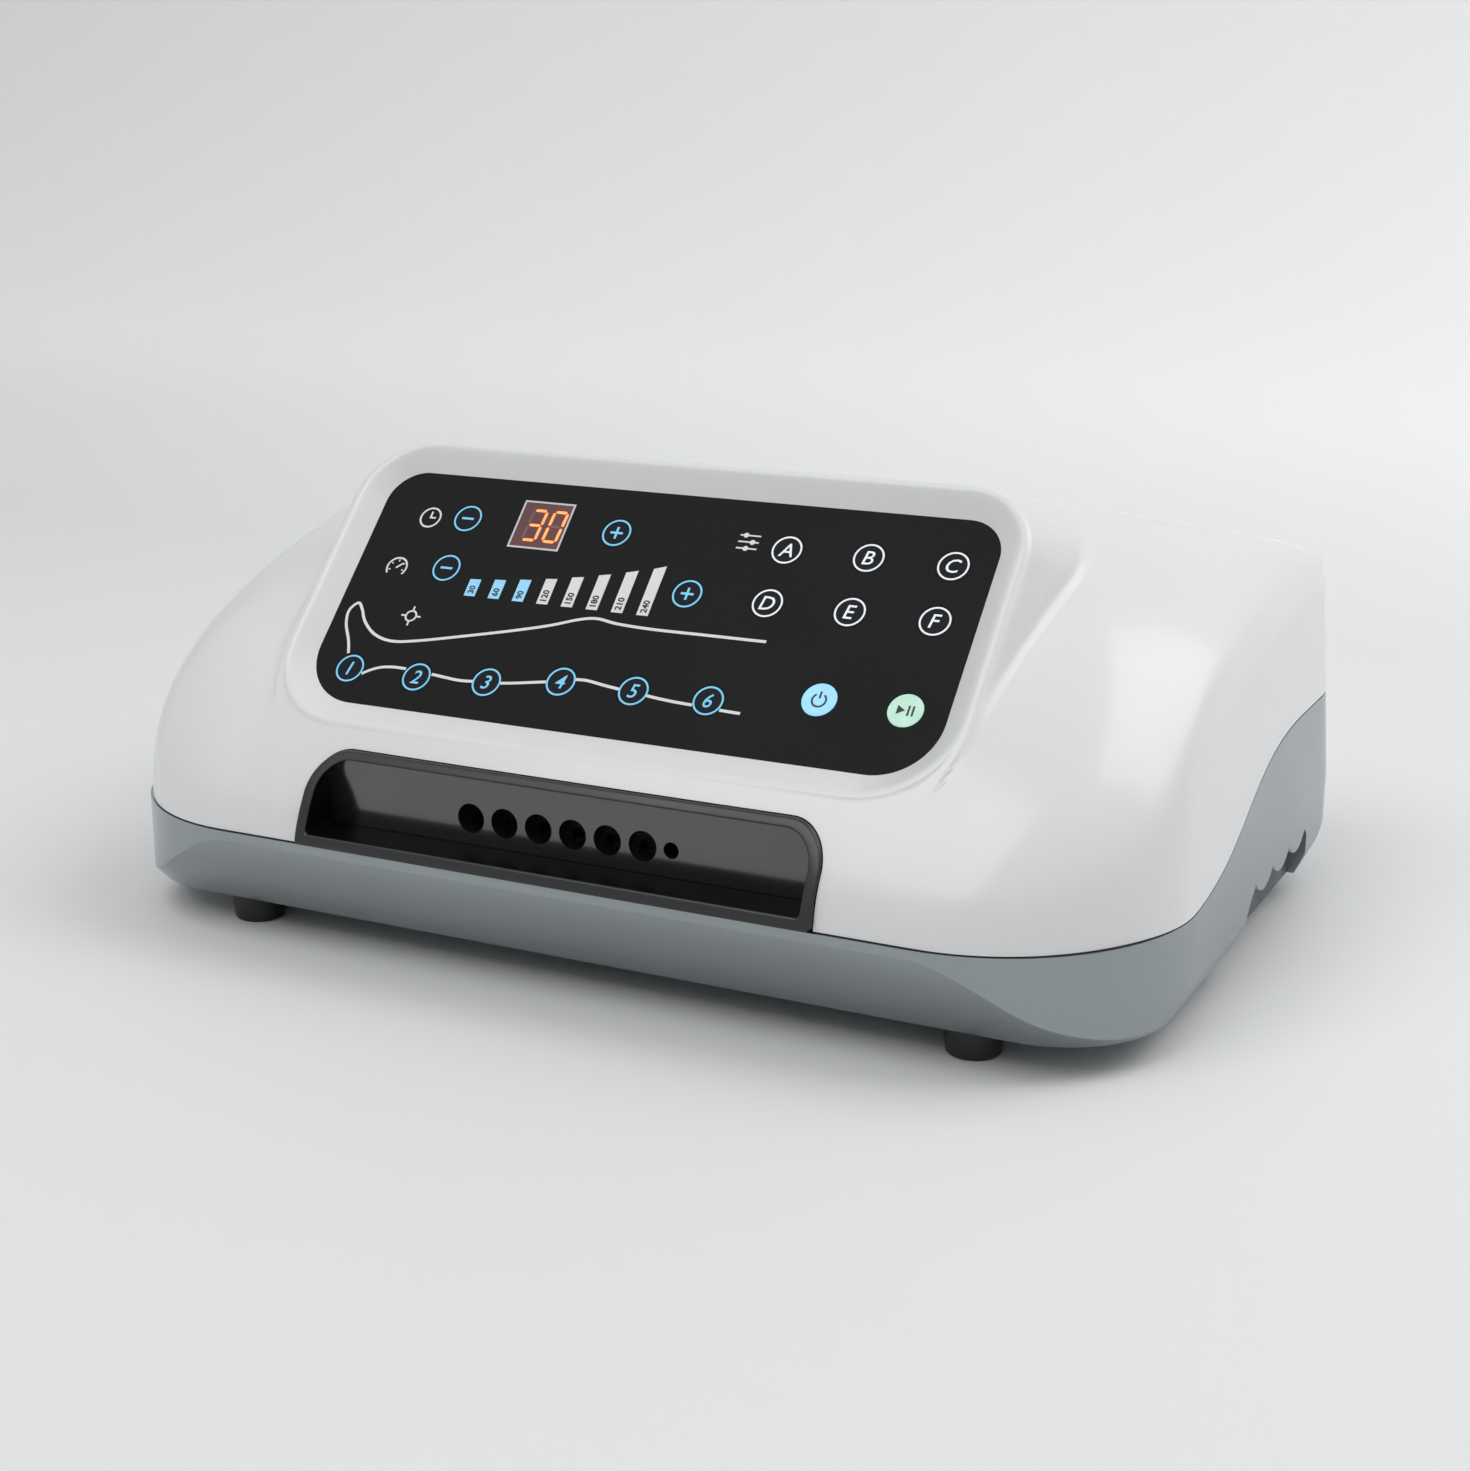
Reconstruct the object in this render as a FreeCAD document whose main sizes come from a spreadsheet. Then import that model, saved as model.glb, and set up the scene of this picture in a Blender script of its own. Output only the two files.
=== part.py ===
"""Compression therapy pump: a table-top air pump for leg sleeves, as a parametric FreeCAD document.

Frame: millimetres, +X right, +Y to the rear, +Z up.  The origin is on the table under the middle
of the case.  The touch panel has a frame of its own: x across, v up the slope, level outwards.
"""
import FreeCAD
import Part
import math
import os
import re
import Sketcher

Vector = FreeCAD.Vector
doc = FreeCAD.newDocument("compression_pump")

# Driving dimensions in millimetres and degrees, as (name, value, meaning).
DIMENSIONS = [
    ("case_width", 284.0, "overall width at the seam"),
    ("case_depth", 200.8, "overall depth at the seam"),
    ("case_wall", 2.6, "wall of both shells"),
    ("front_corner", 50.0, "plan radius of the front corners"),
    ("rear_corner", 30.0, "plan radius of the rear corners"),
    ("side_draft", 4.0, "inward lean of the upper walls, degrees"),
    ("foot_gap", 7.6, "height of the case bottom over the table"),
    ("floor_wall", 3.0, "thickness of the case floor"),
    ("seam_front", 30.7, "height of the seam at the front"),
    ("seam_rear", 53.0, "height of the seam at the rear"),
    ("seam_rise_start", -60.0, "depth position where the seam starts to rise"),
    ("seam_rise_end", 48.0, "depth position where the seam is level again"),
    ("seam_gap", 0.35, "gap between the shells"),
    ("hull_front_step", 14.0, "how far the hull recedes at the front bottom"),
    ("hull_rear_step", 16.0, "how far the hull recedes at the rear bottom"),
    ("hull_side_step", 2.7, "how far the hull recedes at the side bottoms"),
    ("hull_side_height", 5.9, "height of the hull's side bevel"),
    ("hull_corner", 27.0, "plan radius of the hull's corners at the bottom"),
    ("hull_corner_growth", 6.0, "how much that radius grows up to the seam"),
    ("hull_bulge", 1.53, "exponent of the hull's curve, 1 is straight"),
    ("pillow_top", 113.9, "height of the domed top at the middle"),
    ("pillow_side", 62.0, "height where the domed top meets the side"),
    ("pillow_side_margin", 1.4, "how far the dome's cross section reaches past the case's side"),
    ("pillow_power", 2.96, "exponent of the dome's cross section"),
    ("pillow_overhang", 0.5, "how far the dome stands in front of the seam"),
    ("trim_margin", 0.6, "how far the dome and the hull stand outside the walls that they trim"),
    ("fascia_power_middle", 1.448, "exponent of the front slope at the middle"),
    ("fascia_power_side", 2.315, "exponent of the front slope at the side"),
    ("fascia_power_reach", 57.0, "how far inwards from the case's side that exponent changes"),
    ("fascia_depth_middle", 113.3, "run of the front slope at the middle"),
    ("fascia_depth_side", 165.9, "run of the front slope at the side"),
    ("fascia_depth_inset", 62.0, "distance from the case's side where that run starts to grow"),
    ("fascia_depth_reach", 60.0, "how far outwards it grows"),
    ("corner_inset", 46.0, "distance from the case's side where the dome's front starts to curve back"),
    ("corner_reach", 56.4, "half axis across of the dome's front corner"),
    ("corner_run", 88.1, "half axis along of the dome's front corner"),
    ("roof_height", 120.8, "height of the roof plane over the rim's top edge"),
    ("roof_inset", 76.2, "distance of the rim's top edge from the case's front"),
    ("roof_slope", 15.6, "fall of the roof to the rear, degrees"),
    ("roof_round", 7.0, "radius of the edge between the roof and the rear wall"),
    ("roof_overlap", 0.05, "how far that rounded edge starts outside the rear wall"),
    ("panel_tilt", 45.85, "tilt of the touch panel, degrees"),
    ("panel_inset", 64.8, "distance of the panel's datum from the case's front"),
    ("panel_z", 101.5, "height of the panel's datum"),
    ("overlay_half_width", 86.1, "half width of the black plate"),
    ("overlay_low", -57.2, "lower edge of the black plate"),
    ("overlay_high", 13.2, "upper edge of the black plate"),
    ("overlay_corner", 10.0, "radius of the black plate's upper corners"),
    ("overlay_low_corner", 15.5, "radius of the black plate's lower corners"),
    ("overlay_thickness", 1.8, "thickness of the black plate"),
    ("overlay_fit", 0.1, "gap round the black plate"),
    ("deck_wall", 2.4, "wall of the deck under the black plate"),
    ("rim_height", 3.9, "height of the rim's crest over the plate"),
    ("rim_inner_side", 5.6, "width of the rim's inner slope at the sides"),
    ("rim_inner_top", 6.0, "width of the rim's inner slope at the top and bottom"),
    ("rim_crest", 1.2, "width of the rim's crest"),
    ("rim_round", 8.0, "how much larger the crest's corner radii are than the plate's"),
    ("rim_flank_run", 11.0, "how far the rim's flanks widen"),
    ("rim_flank_power", 1.12, "exponent of the flanks' spread"),
    ("rim_flank_drop", 45.0, "how deep the rim's flanks reach"),
    ("rim_back_slope", 0.645, "run of the rim's top end for each unit of drop"),
    ("key_radius", 4.35, "radius of a key's cap"),
    ("key_guide", 0.1, "gap between a key and the plate"),
    ("key_cap", 1.0, "thickness of a key's cap"),
    ("key_stem_width", 3.0, "width of a key's square stem"),
    ("key_stem_gap", 0.3, "gap round a key's stem"),
    ("key_travel", 0.4, "travel of a key"),
    ("switch_height", 4.3, "height of a key's switch with its button"),
    ("switch_body", 3.5, "height of the switch without its button"),
    ("switch_width", 6.0, "width of a switch"),
    ("switch_button", 2.6, "width of the switch's square button"),
    ("switch_slack", 0.15, "play between switch and stem beyond the travel"),
    ("stem_reach", 1.0, "how far a stem stands out under the deck"),
    ("display_width", 15.0, "width of the display"),
    ("display_height", 14.4, "height of the display"),
    ("display_x", -37.0, "middle of the display across"),
    ("display_v", 0.15, "middle of the display up the slope"),
    ("display_fit", 0.15, "gap round the display"),
    ("board_half_width", 80.0, "half width of the control board"),
    ("board_low", -54.0, "lower edge of the control board"),
    ("board_high", 9.0, "upper edge of the control board"),
    ("board_thickness", 1.6, "thickness of the circuit boards"),
    ("post_radius", 3.0, "radius of the control board's posts"),
    ("screw_radius", 1.5, "radius of the screws"),
    ("screw_head", 2.8, "radius of the screw heads"),
    ("screw_head_height", 2.0, "height of the screw heads"),
    ("screw_gap", 0.15, "gap round a screw in its clearance hole"),
    ("bezel_half_width", 69.5, "half width of the black frame at the hose socket"),
    ("bezel_low", 30.95, "lower edge of the black frame"),
    ("bezel_high", 52.9, "upper edge of the black frame"),
    ("bezel_corner", 10.0, "radius of the frame's upper corners"),
    ("bezel_foot_corner", 1.0, "radius of the frame's lower corners"),
    ("bezel_proud", 1.0, "how far the frame stands out of the front"),
    ("bezel_fit", 0.2, "gap round the frame"),
    ("bezel_flange_side", 2.8, "width of the frame at the sides and bottom"),
    ("bezel_flange_top", 2.0, "width of the frame at the top"),
    ("socket_depth", 10.8, "depth of the hose socket"),
    ("port_radius", 3.7, "radius of an air bore"),
    ("port_pitch", 9.4, "distance between the air bores"),
    ("port_first_x", -25.6, "place of the first air bore"),
    ("port_z", 40.4, "height of the air bores"),
    ("port_depth", 12.0, "depth of the air bores"),
    ("duct_radius", 1.2, "radius of the air duct behind each air bore"),
    ("locator_radius", 2.0, "radius of the locating bore"),
    ("locator_x", 28.9, "place of the locating bore"),
    ("manifold_depth", 16.0, "depth of the bored block"),
    ("manifold_fit", 0.1, "gap between the bored block and the frame"),
    ("nipple_radius", 2.0, "outer radius of the hose nipples"),
    ("nipple_length", 5.0, "length of the hose nipples"),
    ("hose_wall", 1.2, "wall of the air hoses"),
    ("hose_fit", 0.05, "gap between hose and nipple"),
    ("foot_radius", 6.5, "radius of a foot on the table"),
    ("foot_flare", 0.8, "how much wider a foot is at the case"),
    ("foot_seat", 1.2, "depth of the seat of a foot"),
    ("foot_fit", 0.1, "gap round a foot in its seat"),
    ("front_foot_side", 42.1, "distance of a front foot from the case's side"),
    ("front_foot_end", 22.4, "distance of a front foot from the case's front"),
    ("rear_foot_side", 18.0, "distance of a rear foot from the case's side"),
    ("rear_foot_end", 44.4, "distance of a rear foot from the case's rear"),
    ("recess_start", 3.0, "depth position of the first tooth of the side recess"),
    ("recess_pitch", 16.4, "distance between the teeth"),
    ("recess_teeth", 3.0, "number of lobes of the side recess"),
    ("recess_crown", 21.0, "height of the tooth roots"),
    ("recess_sag", 17.4, "height of the lobes"),
    ("recess_lead", 10.1, "length of the slanted front end"),
    ("recess_lead_top", 4.85, "length of the front end's upper stretch"),
    ("recess_lead_drop", 6.0, "height of the front end's lower stretch"),
    ("recess_tail", 2.6, "length of the recess behind the last tooth"),
    ("recess_tail_rise", 1.7, "height of the tail's lower corner over the lobes"),
    ("recess_depth", 4.6, "depth of the side recess"),
    ("recess_back", 2.4, "wall behind the side recess"),
    ("boss_radius", 4.5, "radius of the case bosses"),
    ("boss_bite", 10.0, "length of a case screw in the upper boss"),
    ("boss_seat", 5.0, "material under a case screw's head seat"),
    ("front_boss_side", 30.0, "distance of a front boss from the case's side"),
    ("front_boss_end", 42.4, "distance of a front boss from the case's front"),
    ("rear_boss_side", 24.0, "distance of a rear boss from the case's side"),
    ("rear_boss_end", 22.4, "distance of a rear boss from the case's rear"),
    ("thread_gap", 0.02, "gap round a screw's thread"),
    ("setting_x", -59.3, "place of the two minus keys across"),
    ("time_plus_x", -15.1, "place of the time plus key across"),
    ("pressure_plus_x", 10.5, "place of the pressure plus key across"),
    ("time_v", 0.2, "time keys up the slope"),
    ("pressure_v", -15.2, "pressure keys up the slope"),
    ("mode_x", 32.3, "first column of mode keys"),
    ("mode_pitch", 21.6, "distance between the columns"),
    ("mode_v", 0.0, "first row of mode keys"),
    ("mode_drop", 15.4, "distance between the rows"),
    ("start_v", -39.6, "power and start keys up the slope"),
    ("zone_x", -74.5, "first zone key"),
    ("zone_pitch", 20.18, "distance between the zone keys"),
    ("zone_heel_v", -47.5, "zone keys 1 and 2 up the slope"),
    ("zone_ankle_v", -46.4, "zone key 3 up the slope"),
    ("zone_calf_v", -43.6, "zone keys 4 to 6 up the slope"),
    ("post_x", 64.5, "posts of the control board across"),
    ("post_low", -50.3, "lower posts of the control board"),
    ("post_high", 6.0, "upper posts of the control board"),
    ("board_screw_bite", 4.0, "length of a board screw in its post"),
    ("valve_width", 9.0, "width of a valve"),
    ("valve_length", 22.0, "length of a valve"),
    ("valve_height", 16.0, "height of a valve"),
    ("hose_length", 14.0, "length of the hoses between manifold and valves"),
    ("plunger_radius", 2.5, "radius of a valve's plunger"),
    ("plunger_length", 9.0, "length of a valve's plunger"),
    ("plunger_fit", 0.1, "gap round a plunger"),
    ("plunger_travel", 1.5, "travel of a plunger"),
    ("plunger_rest", 0.3, "gap under a plunger at rest"),
    ("rail_end", 5.0, "length of the air rail beyond the outer valves"),
    ("rail_port_x", 7.5, "place of the air rail's inlets across"),
    ("rail_port_z", 28.0, "height of the air rail's inlets"),
    ("pump_x", 55.0, "middle of the air pump across"),
    ("pump_y", 30.0, "middle of the air pump along"),
    ("mount_height", 10.0, "height of the pump's rubber mounts"),
    ("mount_radius", 5.0, "radius of the pump's rubber mounts"),
    ("mount_inset", 9.0, "distance of a mount from the frame's edges"),
    ("pump_length", 80.0, "length of the pump's frame"),
    ("pump_width", 56.0, "width of the pump's frame"),
    ("pump_height", 40.0, "height of the pump's frame"),
    ("pump_plate", 2.5, "thickness of the pump's frame"),
    ("core_length", 26.0, "length of the iron core"),
    ("core_width", 44.0, "width of the iron core"),
    ("core_height", 34.0, "height of the iron core"),
    ("window_width", 24.0, "width of the core's window"),
    ("window_height", 14.0, "height of the core's window"),
    ("coil_wall", 4.0, "build of the windings"),
    ("coil_gap", 0.1, "gap between winding and core"),
    ("armature_length", 64.0, "length of the armature's bar"),
    ("armature_width", 10.0, "width of the armature's bar"),
    ("armature_height", 8.0, "height of the armature's bar"),
    ("stud_radius", 3.0, "radius of the armature's studs"),
    ("clamp_radius", 8.0, "radius of the discs that hold a diaphragm"),
    ("clamp_thickness", 1.5, "thickness of those discs"),
    ("diaphragm_radius", 17.0, "radius of a diaphragm"),
    ("diaphragm_thickness", 1.5, "thickness of a diaphragm"),
    ("stud_fit", 0.05, "gap round a stud in its diaphragm"),
    ("chamber_radius", 13.0, "radius of the pump chambers and the frame's bores"),
    ("chamber_depth", 6.0, "depth of the pump chambers"),
    ("head_depth", 12.0, "depth of a pump head"),
    ("head_width", 44.0, "width of a pump head"),
    ("head_height", 35.0, "height of a pump head"),
    ("hose_bend", 20.0, "bend radius of the right pump hose"),
    ("power_board_x", -80.0, "middle of the power board across"),
    ("power_board_y", 26.0, "middle of the power board along"),
    ("power_board_length", 84.0, "length of the power board"),
    ("power_board_width", 60.0, "width of the power board"),
    ("power_post_height", 6.0, "height of the power board's posts"),
    ("power_post_inset", 5.0, "distance of a post from the board's edges"),
    ("transformer_length", 32.0, "length of the transformer"),
    ("transformer_width", 28.0, "width of the transformer"),
    ("transformer_height", 26.0, "height of the transformer"),
    ("transformer_stack", 14.0, "thickness of its iron core"),
    ("winding_length", 22.4, "length of its winding"),
    ("winding_height", 18.2, "height of its winding"),
    ("inlet_x", -90.0, "middle of the mains inlet across"),
    ("inlet_z", 42.0, "height of the mains inlet"),
    ("inlet_width", 24.0, "width of the inlet's body"),
    ("inlet_height", 14.0, "height of the inlet's body"),
    ("inlet_depth", 16.0, "depth of the inlet's body behind the wall"),
    ("inlet_flange", 2.0, "width of the inlet's flange"),
    ("inlet_flange_thickness", 1.5, "thickness of the inlet's flange"),
    ("inlet_flange_gap", 0.07, "gap between the flange's lower edge and the wall"),
    ("inlet_cavity_width", 16.6, "width of the inlet's mouth"),
    ("inlet_cavity_height", 9.2, "height of the inlet's mouth"),
    ("inlet_cavity_depth", 10.4, "depth of the inlet's mouth"),
    ("inlet_pin_radius", 1.18, "radius of the inlet's pins"),
    ("inlet_pin_pitch", 8.6, "distance between the inlet's pins"),
    ("inlet_pin_length", 9.0, "length of the inlet's pins"),
    ("inlet_fit", 0.15, "gap round the inlet in its cut-out"),
]


def make_sheet():
    """The spreadsheet of driving dimensions: name, value and meaning in one row each."""
    sheet = doc.addObject("Spreadsheet::Sheet", "sizes")
    for row, (name, value, meaning) in enumerate(DIMENSIONS, start=1):
        sheet.set(f"A{row}", name)
        sheet.set(f"B{row}", str(value))
        sheet.set(f"C{row}", meaning)
        sheet.setAlias(f"B{row}", name)
    doc.recompute()
    return sheet


sheet = make_sheet()
NAMES = {name for name, _, _ in DIMENSIONS}
MARGIN = 10.0  # how far a cutting form reaches past what it trims
PANEL_Y = "(panel_inset - case_depth / 2)"
sub_parts = []


def size(name):
    """The value of one driving dimension."""
    return float(sheet.get(name))


def cells(text):
    """An expression with each dimension's name turned into its cell."""
    return re.sub(r"[a-z_]+", lambda word: "sizes." + word[0] if word[0] in NAMES else word[0], str(text))


def expression_value(text):
    """The present value of an expression of dimensions."""
    return float(doc.sizes.evalExpression(cells(text)))


def bind(thing, prop, text):
    """Bind a property to an expression of dimensions."""
    thing.setExpression(prop, cells(text))


def place(thing, x, y, z):
    """Bind a place in the case's frame."""
    bind(thing, "Placement.Base.x", x)
    bind(thing, "Placement.Base.y", y)
    bind(thing, "Placement.Base.z", z)
    return thing


def place_on_panel(thing, x, v, level):
    """Bind a place and tilt in the panel's frame."""
    thing.Placement.Rotation = FreeCAD.Rotation(Vector(1, 0, 0), size("panel_tilt"))
    bind(thing, "Placement.Rotation.Angle", "panel_tilt")
    return place(thing, x, f"{PANEL_Y} + ({v}) * cos(panel_tilt) - ({level}) * sin(panel_tilt)",
                 f"panel_z + ({v}) * sin(panel_tilt) + ({level}) * cos(panel_tilt)")


def sub_part(thing, node):
    """Name an object as a finished sub-part."""
    thing.Label = node
    sub_parts.append(thing)
    return thing


def box(length, width, height):
    """A box with its corner at its origin."""
    thing = doc.addObject("Part::Box", "box")
    bind(thing, "Length", length)
    bind(thing, "Width", width)
    bind(thing, "Height", height)
    return thing


def centred_box(length, width, height, x, y, z):
    """A box centred on x and y that stands on z."""
    return place(box(length, width, height), f"{x} - ({length}) / 2", f"{y} - ({width}) / 2", z)


def cylinder(radius, length):
    """An upright cylinder at its origin."""
    thing = doc.addObject("Part::Cylinder", "cylinder")
    bind(thing, "Radius", radius)
    bind(thing, "Height", length)
    return thing


def upright(radius, length, x, y, z):
    """An upright cylinder in the case's frame."""
    return place(cylinder(radius, length), x, y, z)


def along_y(radius, length, x, y, z):
    """A cylinder that runs to the rear from y."""
    thing = cylinder(radius, length)
    thing.Placement.Rotation = FreeCAD.Rotation(Vector(1, 0, 0), -90)
    return place(thing, x, y, z)


def along_x(radius, length, x, y, z):
    """A cylinder that runs to the right from x."""
    thing = cylinder(radius, length)
    thing.Placement.Rotation = FreeCAD.Rotation(Vector(0, 1, 0), 90)
    return place(thing, x, y, z)


def fuse(*things):
    """One solid from several."""
    thing = doc.addObject("Part::MultiFuse", "fuse")
    thing.Shapes = list(things)
    return thing


def group(*things):
    """Separate solids in one object."""
    thing = doc.addObject("Part::Compound", "group")
    thing.Links = list(things)
    return thing


def cut(base, *tools):
    """A solid less one or more tools."""
    thing = doc.addObject("Part::Cut", "cut")
    thing.Base = base
    thing.Tool = tools[0] if len(tools) == 1 else group(*tools)
    return thing


def common(base, tool):
    """What two solids share."""
    thing = doc.addObject("Part::MultiCommon", "common")
    thing.Shapes = [base, tool]
    return thing


def feature(shape, name):
    """A free form made by Part's own functions."""
    thing = doc.addObject("Part::Feature", name)
    thing.Shape = shape
    return thing


# ---- sketch-based bodies ----

def origin_feature(body, role):
    """One of a body's own origin planes or axes."""
    return next(item for item in body.Origin.OriginFeatures if item.Role == role)


def sketch_on(body, role):
    """A sketch on one of the body's own origin planes."""
    sketch = body.newObject("Sketcher::SketchObject", "sketch")
    sketch.AttachmentSupport = (origin_feature(body, role), "")
    sketch.MapMode = "FlatFace"
    return sketch


def pin_point(sketch, index, across, up):
    """Tie the start of an edge to two expressions, each zero or positive."""
    for kind, text in (("DistanceX", across), ("DistanceY", up)):
        if text == "0":
            axis = -2 if kind == "DistanceX" else -1
            sketch.addConstraint(Sketcher.Constraint("PointOnObject", index, 1, axis))
            continue
        number = sketch.addConstraint(Sketcher.Constraint(kind, -1, 1, index, 1, expression_value(text)))
        sketch.setExpression(f"Constraints[{number}]", cells(text))


def revolved(points):
    """A body turned round Z from a profile of (radius, height) expressions."""
    body = doc.addObject("PartDesign::Body", "body")
    sketch = sketch_on(body, "XZ_Plane")
    corners = [Vector(expression_value(radius), expression_value(height), 0) for radius, height in points]
    for start, end in zip(corners, corners[1:] + corners[:1]):
        sketch.addGeometry(Part.LineSegment(start, end))
    count = len(corners)
    for index in range(count):
        sketch.addConstraint(Sketcher.Constraint("Coincident", index, 2, (index + 1) % count, 1))
    for index, (radius, height) in enumerate(points):
        pin_point(sketch, index, radius, height)
    turn = body.newObject("PartDesign::Revolution", "revolution")
    turn.Profile = sketch
    turn.ReferenceAxis = (sketch, ["V_Axis"])
    turn.Angle = 360
    return body


# ---- forms of the case ----

def rounded_outline(half_width, front, rear, front_radius, rear_radius, height):
    """A level outline with lines and arcs, round at its four corners."""
    bend = math.sqrt(0.5)
    corners = [(-1, front, front_radius), (1, front, front_radius),
               (1, rear, rear_radius), (-1, rear, rear_radius)]
    edges = []
    last = None
    first = None
    for turn, (side, y, radius) in enumerate(corners):
        along = 1 if y == front else -1
        middle = Vector(side * (half_width - radius), y + along * radius, height)
        on_side = middle + Vector(side * radius, 0, 0)
        on_end = middle + Vector(0, -along * radius, 0)
        tip = middle + Vector(side * radius * bend, -along * radius * bend, 0)
        start, end = (on_side, on_end) if turn in (0, 2) else (on_end, on_side)
        if last is not None:
            edges.append(Part.LineSegment(last, start).toShape())
        edges.append(Part.Arc(start, tip, end).toShape())
        first = first or start
        last = end
    edges.append(Part.LineSegment(last, first).toShape())
    return Part.Wire(edges)


def half_width_at(inset):
    return size("case_width") / 2 - inset


def plan_outline(inset, height, lean):
    """The case's outline, inset by a wall and by a lean."""
    reach = inset + lean
    half_depth = size("case_depth") / 2
    return rounded_outline(half_width_at(reach), reach - half_depth, half_depth - reach,
                           size("front_corner") - reach, size("rear_corner") - reach, height)


def drafted_walls(inset):
    """The upright walls above the front seam, leaning inwards."""
    low = size("seam_front")
    high = size("roof_height") + MARGIN
    lean = (high - low) * math.tan(math.radians(size("side_draft")))
    return Part.makeLoft([plan_outline(inset, low, 0), plan_outline(inset, high, lean)], True, True)


def growth(x, inset, reach):
    """How far x is along a stretch that starts at an inset from the case's side, from 0 to 1."""
    return min(max((abs(x) - half_width_at(inset)) / reach, 0), 1)


def fascia_power(x):
    """The exponent of the front slope, which grows towards the sides."""
    share = growth(x, size("fascia_power_reach"), size("fascia_power_reach")) ** 2
    return size("fascia_power_middle") + (size("fascia_power_side") - size("fascia_power_middle")) * share


def fascia_run(x):
    """The run of the front slope, which grows towards the sides."""
    share = growth(x, size("fascia_depth_inset"), size("fascia_depth_reach")) ** 2
    return size("fascia_depth_middle") + (size("fascia_depth_side") - size("fascia_depth_middle")) * share


def pillow_front(x, inset):
    """The depth position of the dome's front foot at x, a straight line with elliptic ends."""
    share = max(abs(x) - half_width_at(size("corner_inset")), 0) / (size("corner_reach") - inset)
    back = size("corner_run") * (1 - math.sqrt(max(1 - share ** 2, 0)))
    return inset - size("case_depth") / 2 - size("pillow_overhang") + back


def pillow_height(x, inset):
    """The height of the dome's crest at x, a superellipse across the case."""
    power = size("pillow_power")
    share = min(abs(x) / half_width_at(inset - size("pillow_side_margin")), 1)
    side = size("pillow_side") - inset
    return side + (size("pillow_top") - size("pillow_side")) * (1 - share ** power) ** (1 / power)


def pillow_slope(x, inset, steps):
    """Points up the superelliptic front slope of the dome at x, from its foot to its crest."""
    low = size("seam_front")
    front = pillow_front(x, inset)
    crest = pillow_height(x, inset)
    middle = -size("case_depth") / 2 + fascia_run(x)
    power = fascia_power(x)
    points = []
    for step in range(steps + 1):
        angle = math.pi / 2 * step / steps
        y = middle - (middle - front) * math.cos(angle) ** (2 / power)
        z = low + (crest - low) * math.sin(angle) ** (2 / power)
        points.append(Vector(x, y, z))
    return points


def pillow_section(x, inset, steps, smooth):
    """A lengthwise section of the dome: front slope, level crest, and a rear and foot past the walls."""
    points = pillow_slope(x, inset, steps)
    if smooth:
        curve = Part.BSplineCurve()
        curve.interpolate(points)
        slope = [curve.toShape()]
    else:
        slope = Part.makePolygon(points).Edges
    rear = size("case_depth") / 2 + MARGIN
    foot = size("seam_front") - MARGIN
    crest_end = Vector(x, rear, points[-1].z)
    foot_end = Vector(x, rear, foot)
    foot_start = Vector(x, points[0].y, foot)
    return Part.Wire([
        Part.LineSegment(foot_start, points[0]).toShape(),
        *slope,
        Part.LineSegment(points[-1], crest_end).toShape(),
        Part.LineSegment(crest_end, foot_end).toShape(),
        Part.LineSegment(foot_end, foot_start).toShape(),
    ])


def pillow(inset, sections, steps, smooth):
    """The dome of the top, lofted across the case, smooth or in flat facets just inside the smooth form."""
    reach = half_width_at(inset) + size("trim_margin")
    wires = []
    for index in range(sections):
        angle = math.pi * (index / (sections - 1) - 0.5)
        wires.append(pillow_section(reach * math.sin(angle), inset, steps, smooth))
    return Part.makeLoft(wires, True, not smooth)


def corner_arc(before, corner, after, radius):
    """An arc that rounds a corner on the way between two other points."""
    back = (before - corner).normalize()
    ahead = (after - corner).normalize()
    half = back.getAngle(ahead) / 2
    centre = corner + (back + ahead).normalize() * (radius / math.sin(half))
    reach = radius / math.tan(half)
    tip = centre + (corner - centre).normalize() * radius
    return Part.Arc(corner + back * reach, tip, corner + ahead * reach)


def under_roof(inset):
    """Everything below the roof plane, which falls to the rear and rounds into the rear wall."""
    fall = math.tan(math.radians(size("roof_slope")))
    lean = math.tan(math.radians(size("side_draft")))
    reach = size("case_depth")
    half_width = size("case_width")
    top = size("roof_height") - inset / math.cos(math.radians(size("roof_slope")))
    wall = size("case_depth") / 2 - inset + size("roof_overlap") + size("seam_front") * lean
    start = size("roof_inset") - size("case_depth") / 2
    rear = (wall - (top + fall * start) * lean) / (1 - fall * lean)

    def roof_point(y):
        return Vector(-half_width, y, top + fall * (start - y))

    front_foot = Vector(-half_width, -reach, 0)
    rear_foot = Vector(-half_width, wall, 0)
    arc = corner_arc(roof_point(-reach), roof_point(rear), rear_foot, size("roof_round") - inset)
    edges = [
        Part.LineSegment(front_foot, roof_point(-reach)),
        Part.LineSegment(roof_point(-reach), arc.StartPoint),
        arc,
        Part.LineSegment(arc.EndPoint, rear_foot),
        Part.LineSegment(rear_foot, front_foot),
    ]
    outline = Part.Wire([edge.toShape() for edge in edges])
    return Part.Face(outline).extrude(Vector(2 * half_width, 0, 0))


def on_panel(shape):
    """A shape from the panel's frame in the case's frame."""
    shape.Placement = FreeCAD.Placement(Vector(0, expression_value(PANEL_Y), size("panel_z")),
                                        FreeCAD.Rotation(Vector(1, 0, 0), size("panel_tilt")))
    return shape


def panel_outline(grow_side, grow_end, rounding, level):
    """The black plate's outline in the panel's frame, grown at its sides and ends and made rounder."""
    return rounded_outline(size("overlay_half_width") + grow_side, size("overlay_low") - grow_end,
                           size("overlay_high") + grow_end, size("overlay_low_corner") + rounding,
                           size("overlay_corner") + rounding, level)


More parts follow.
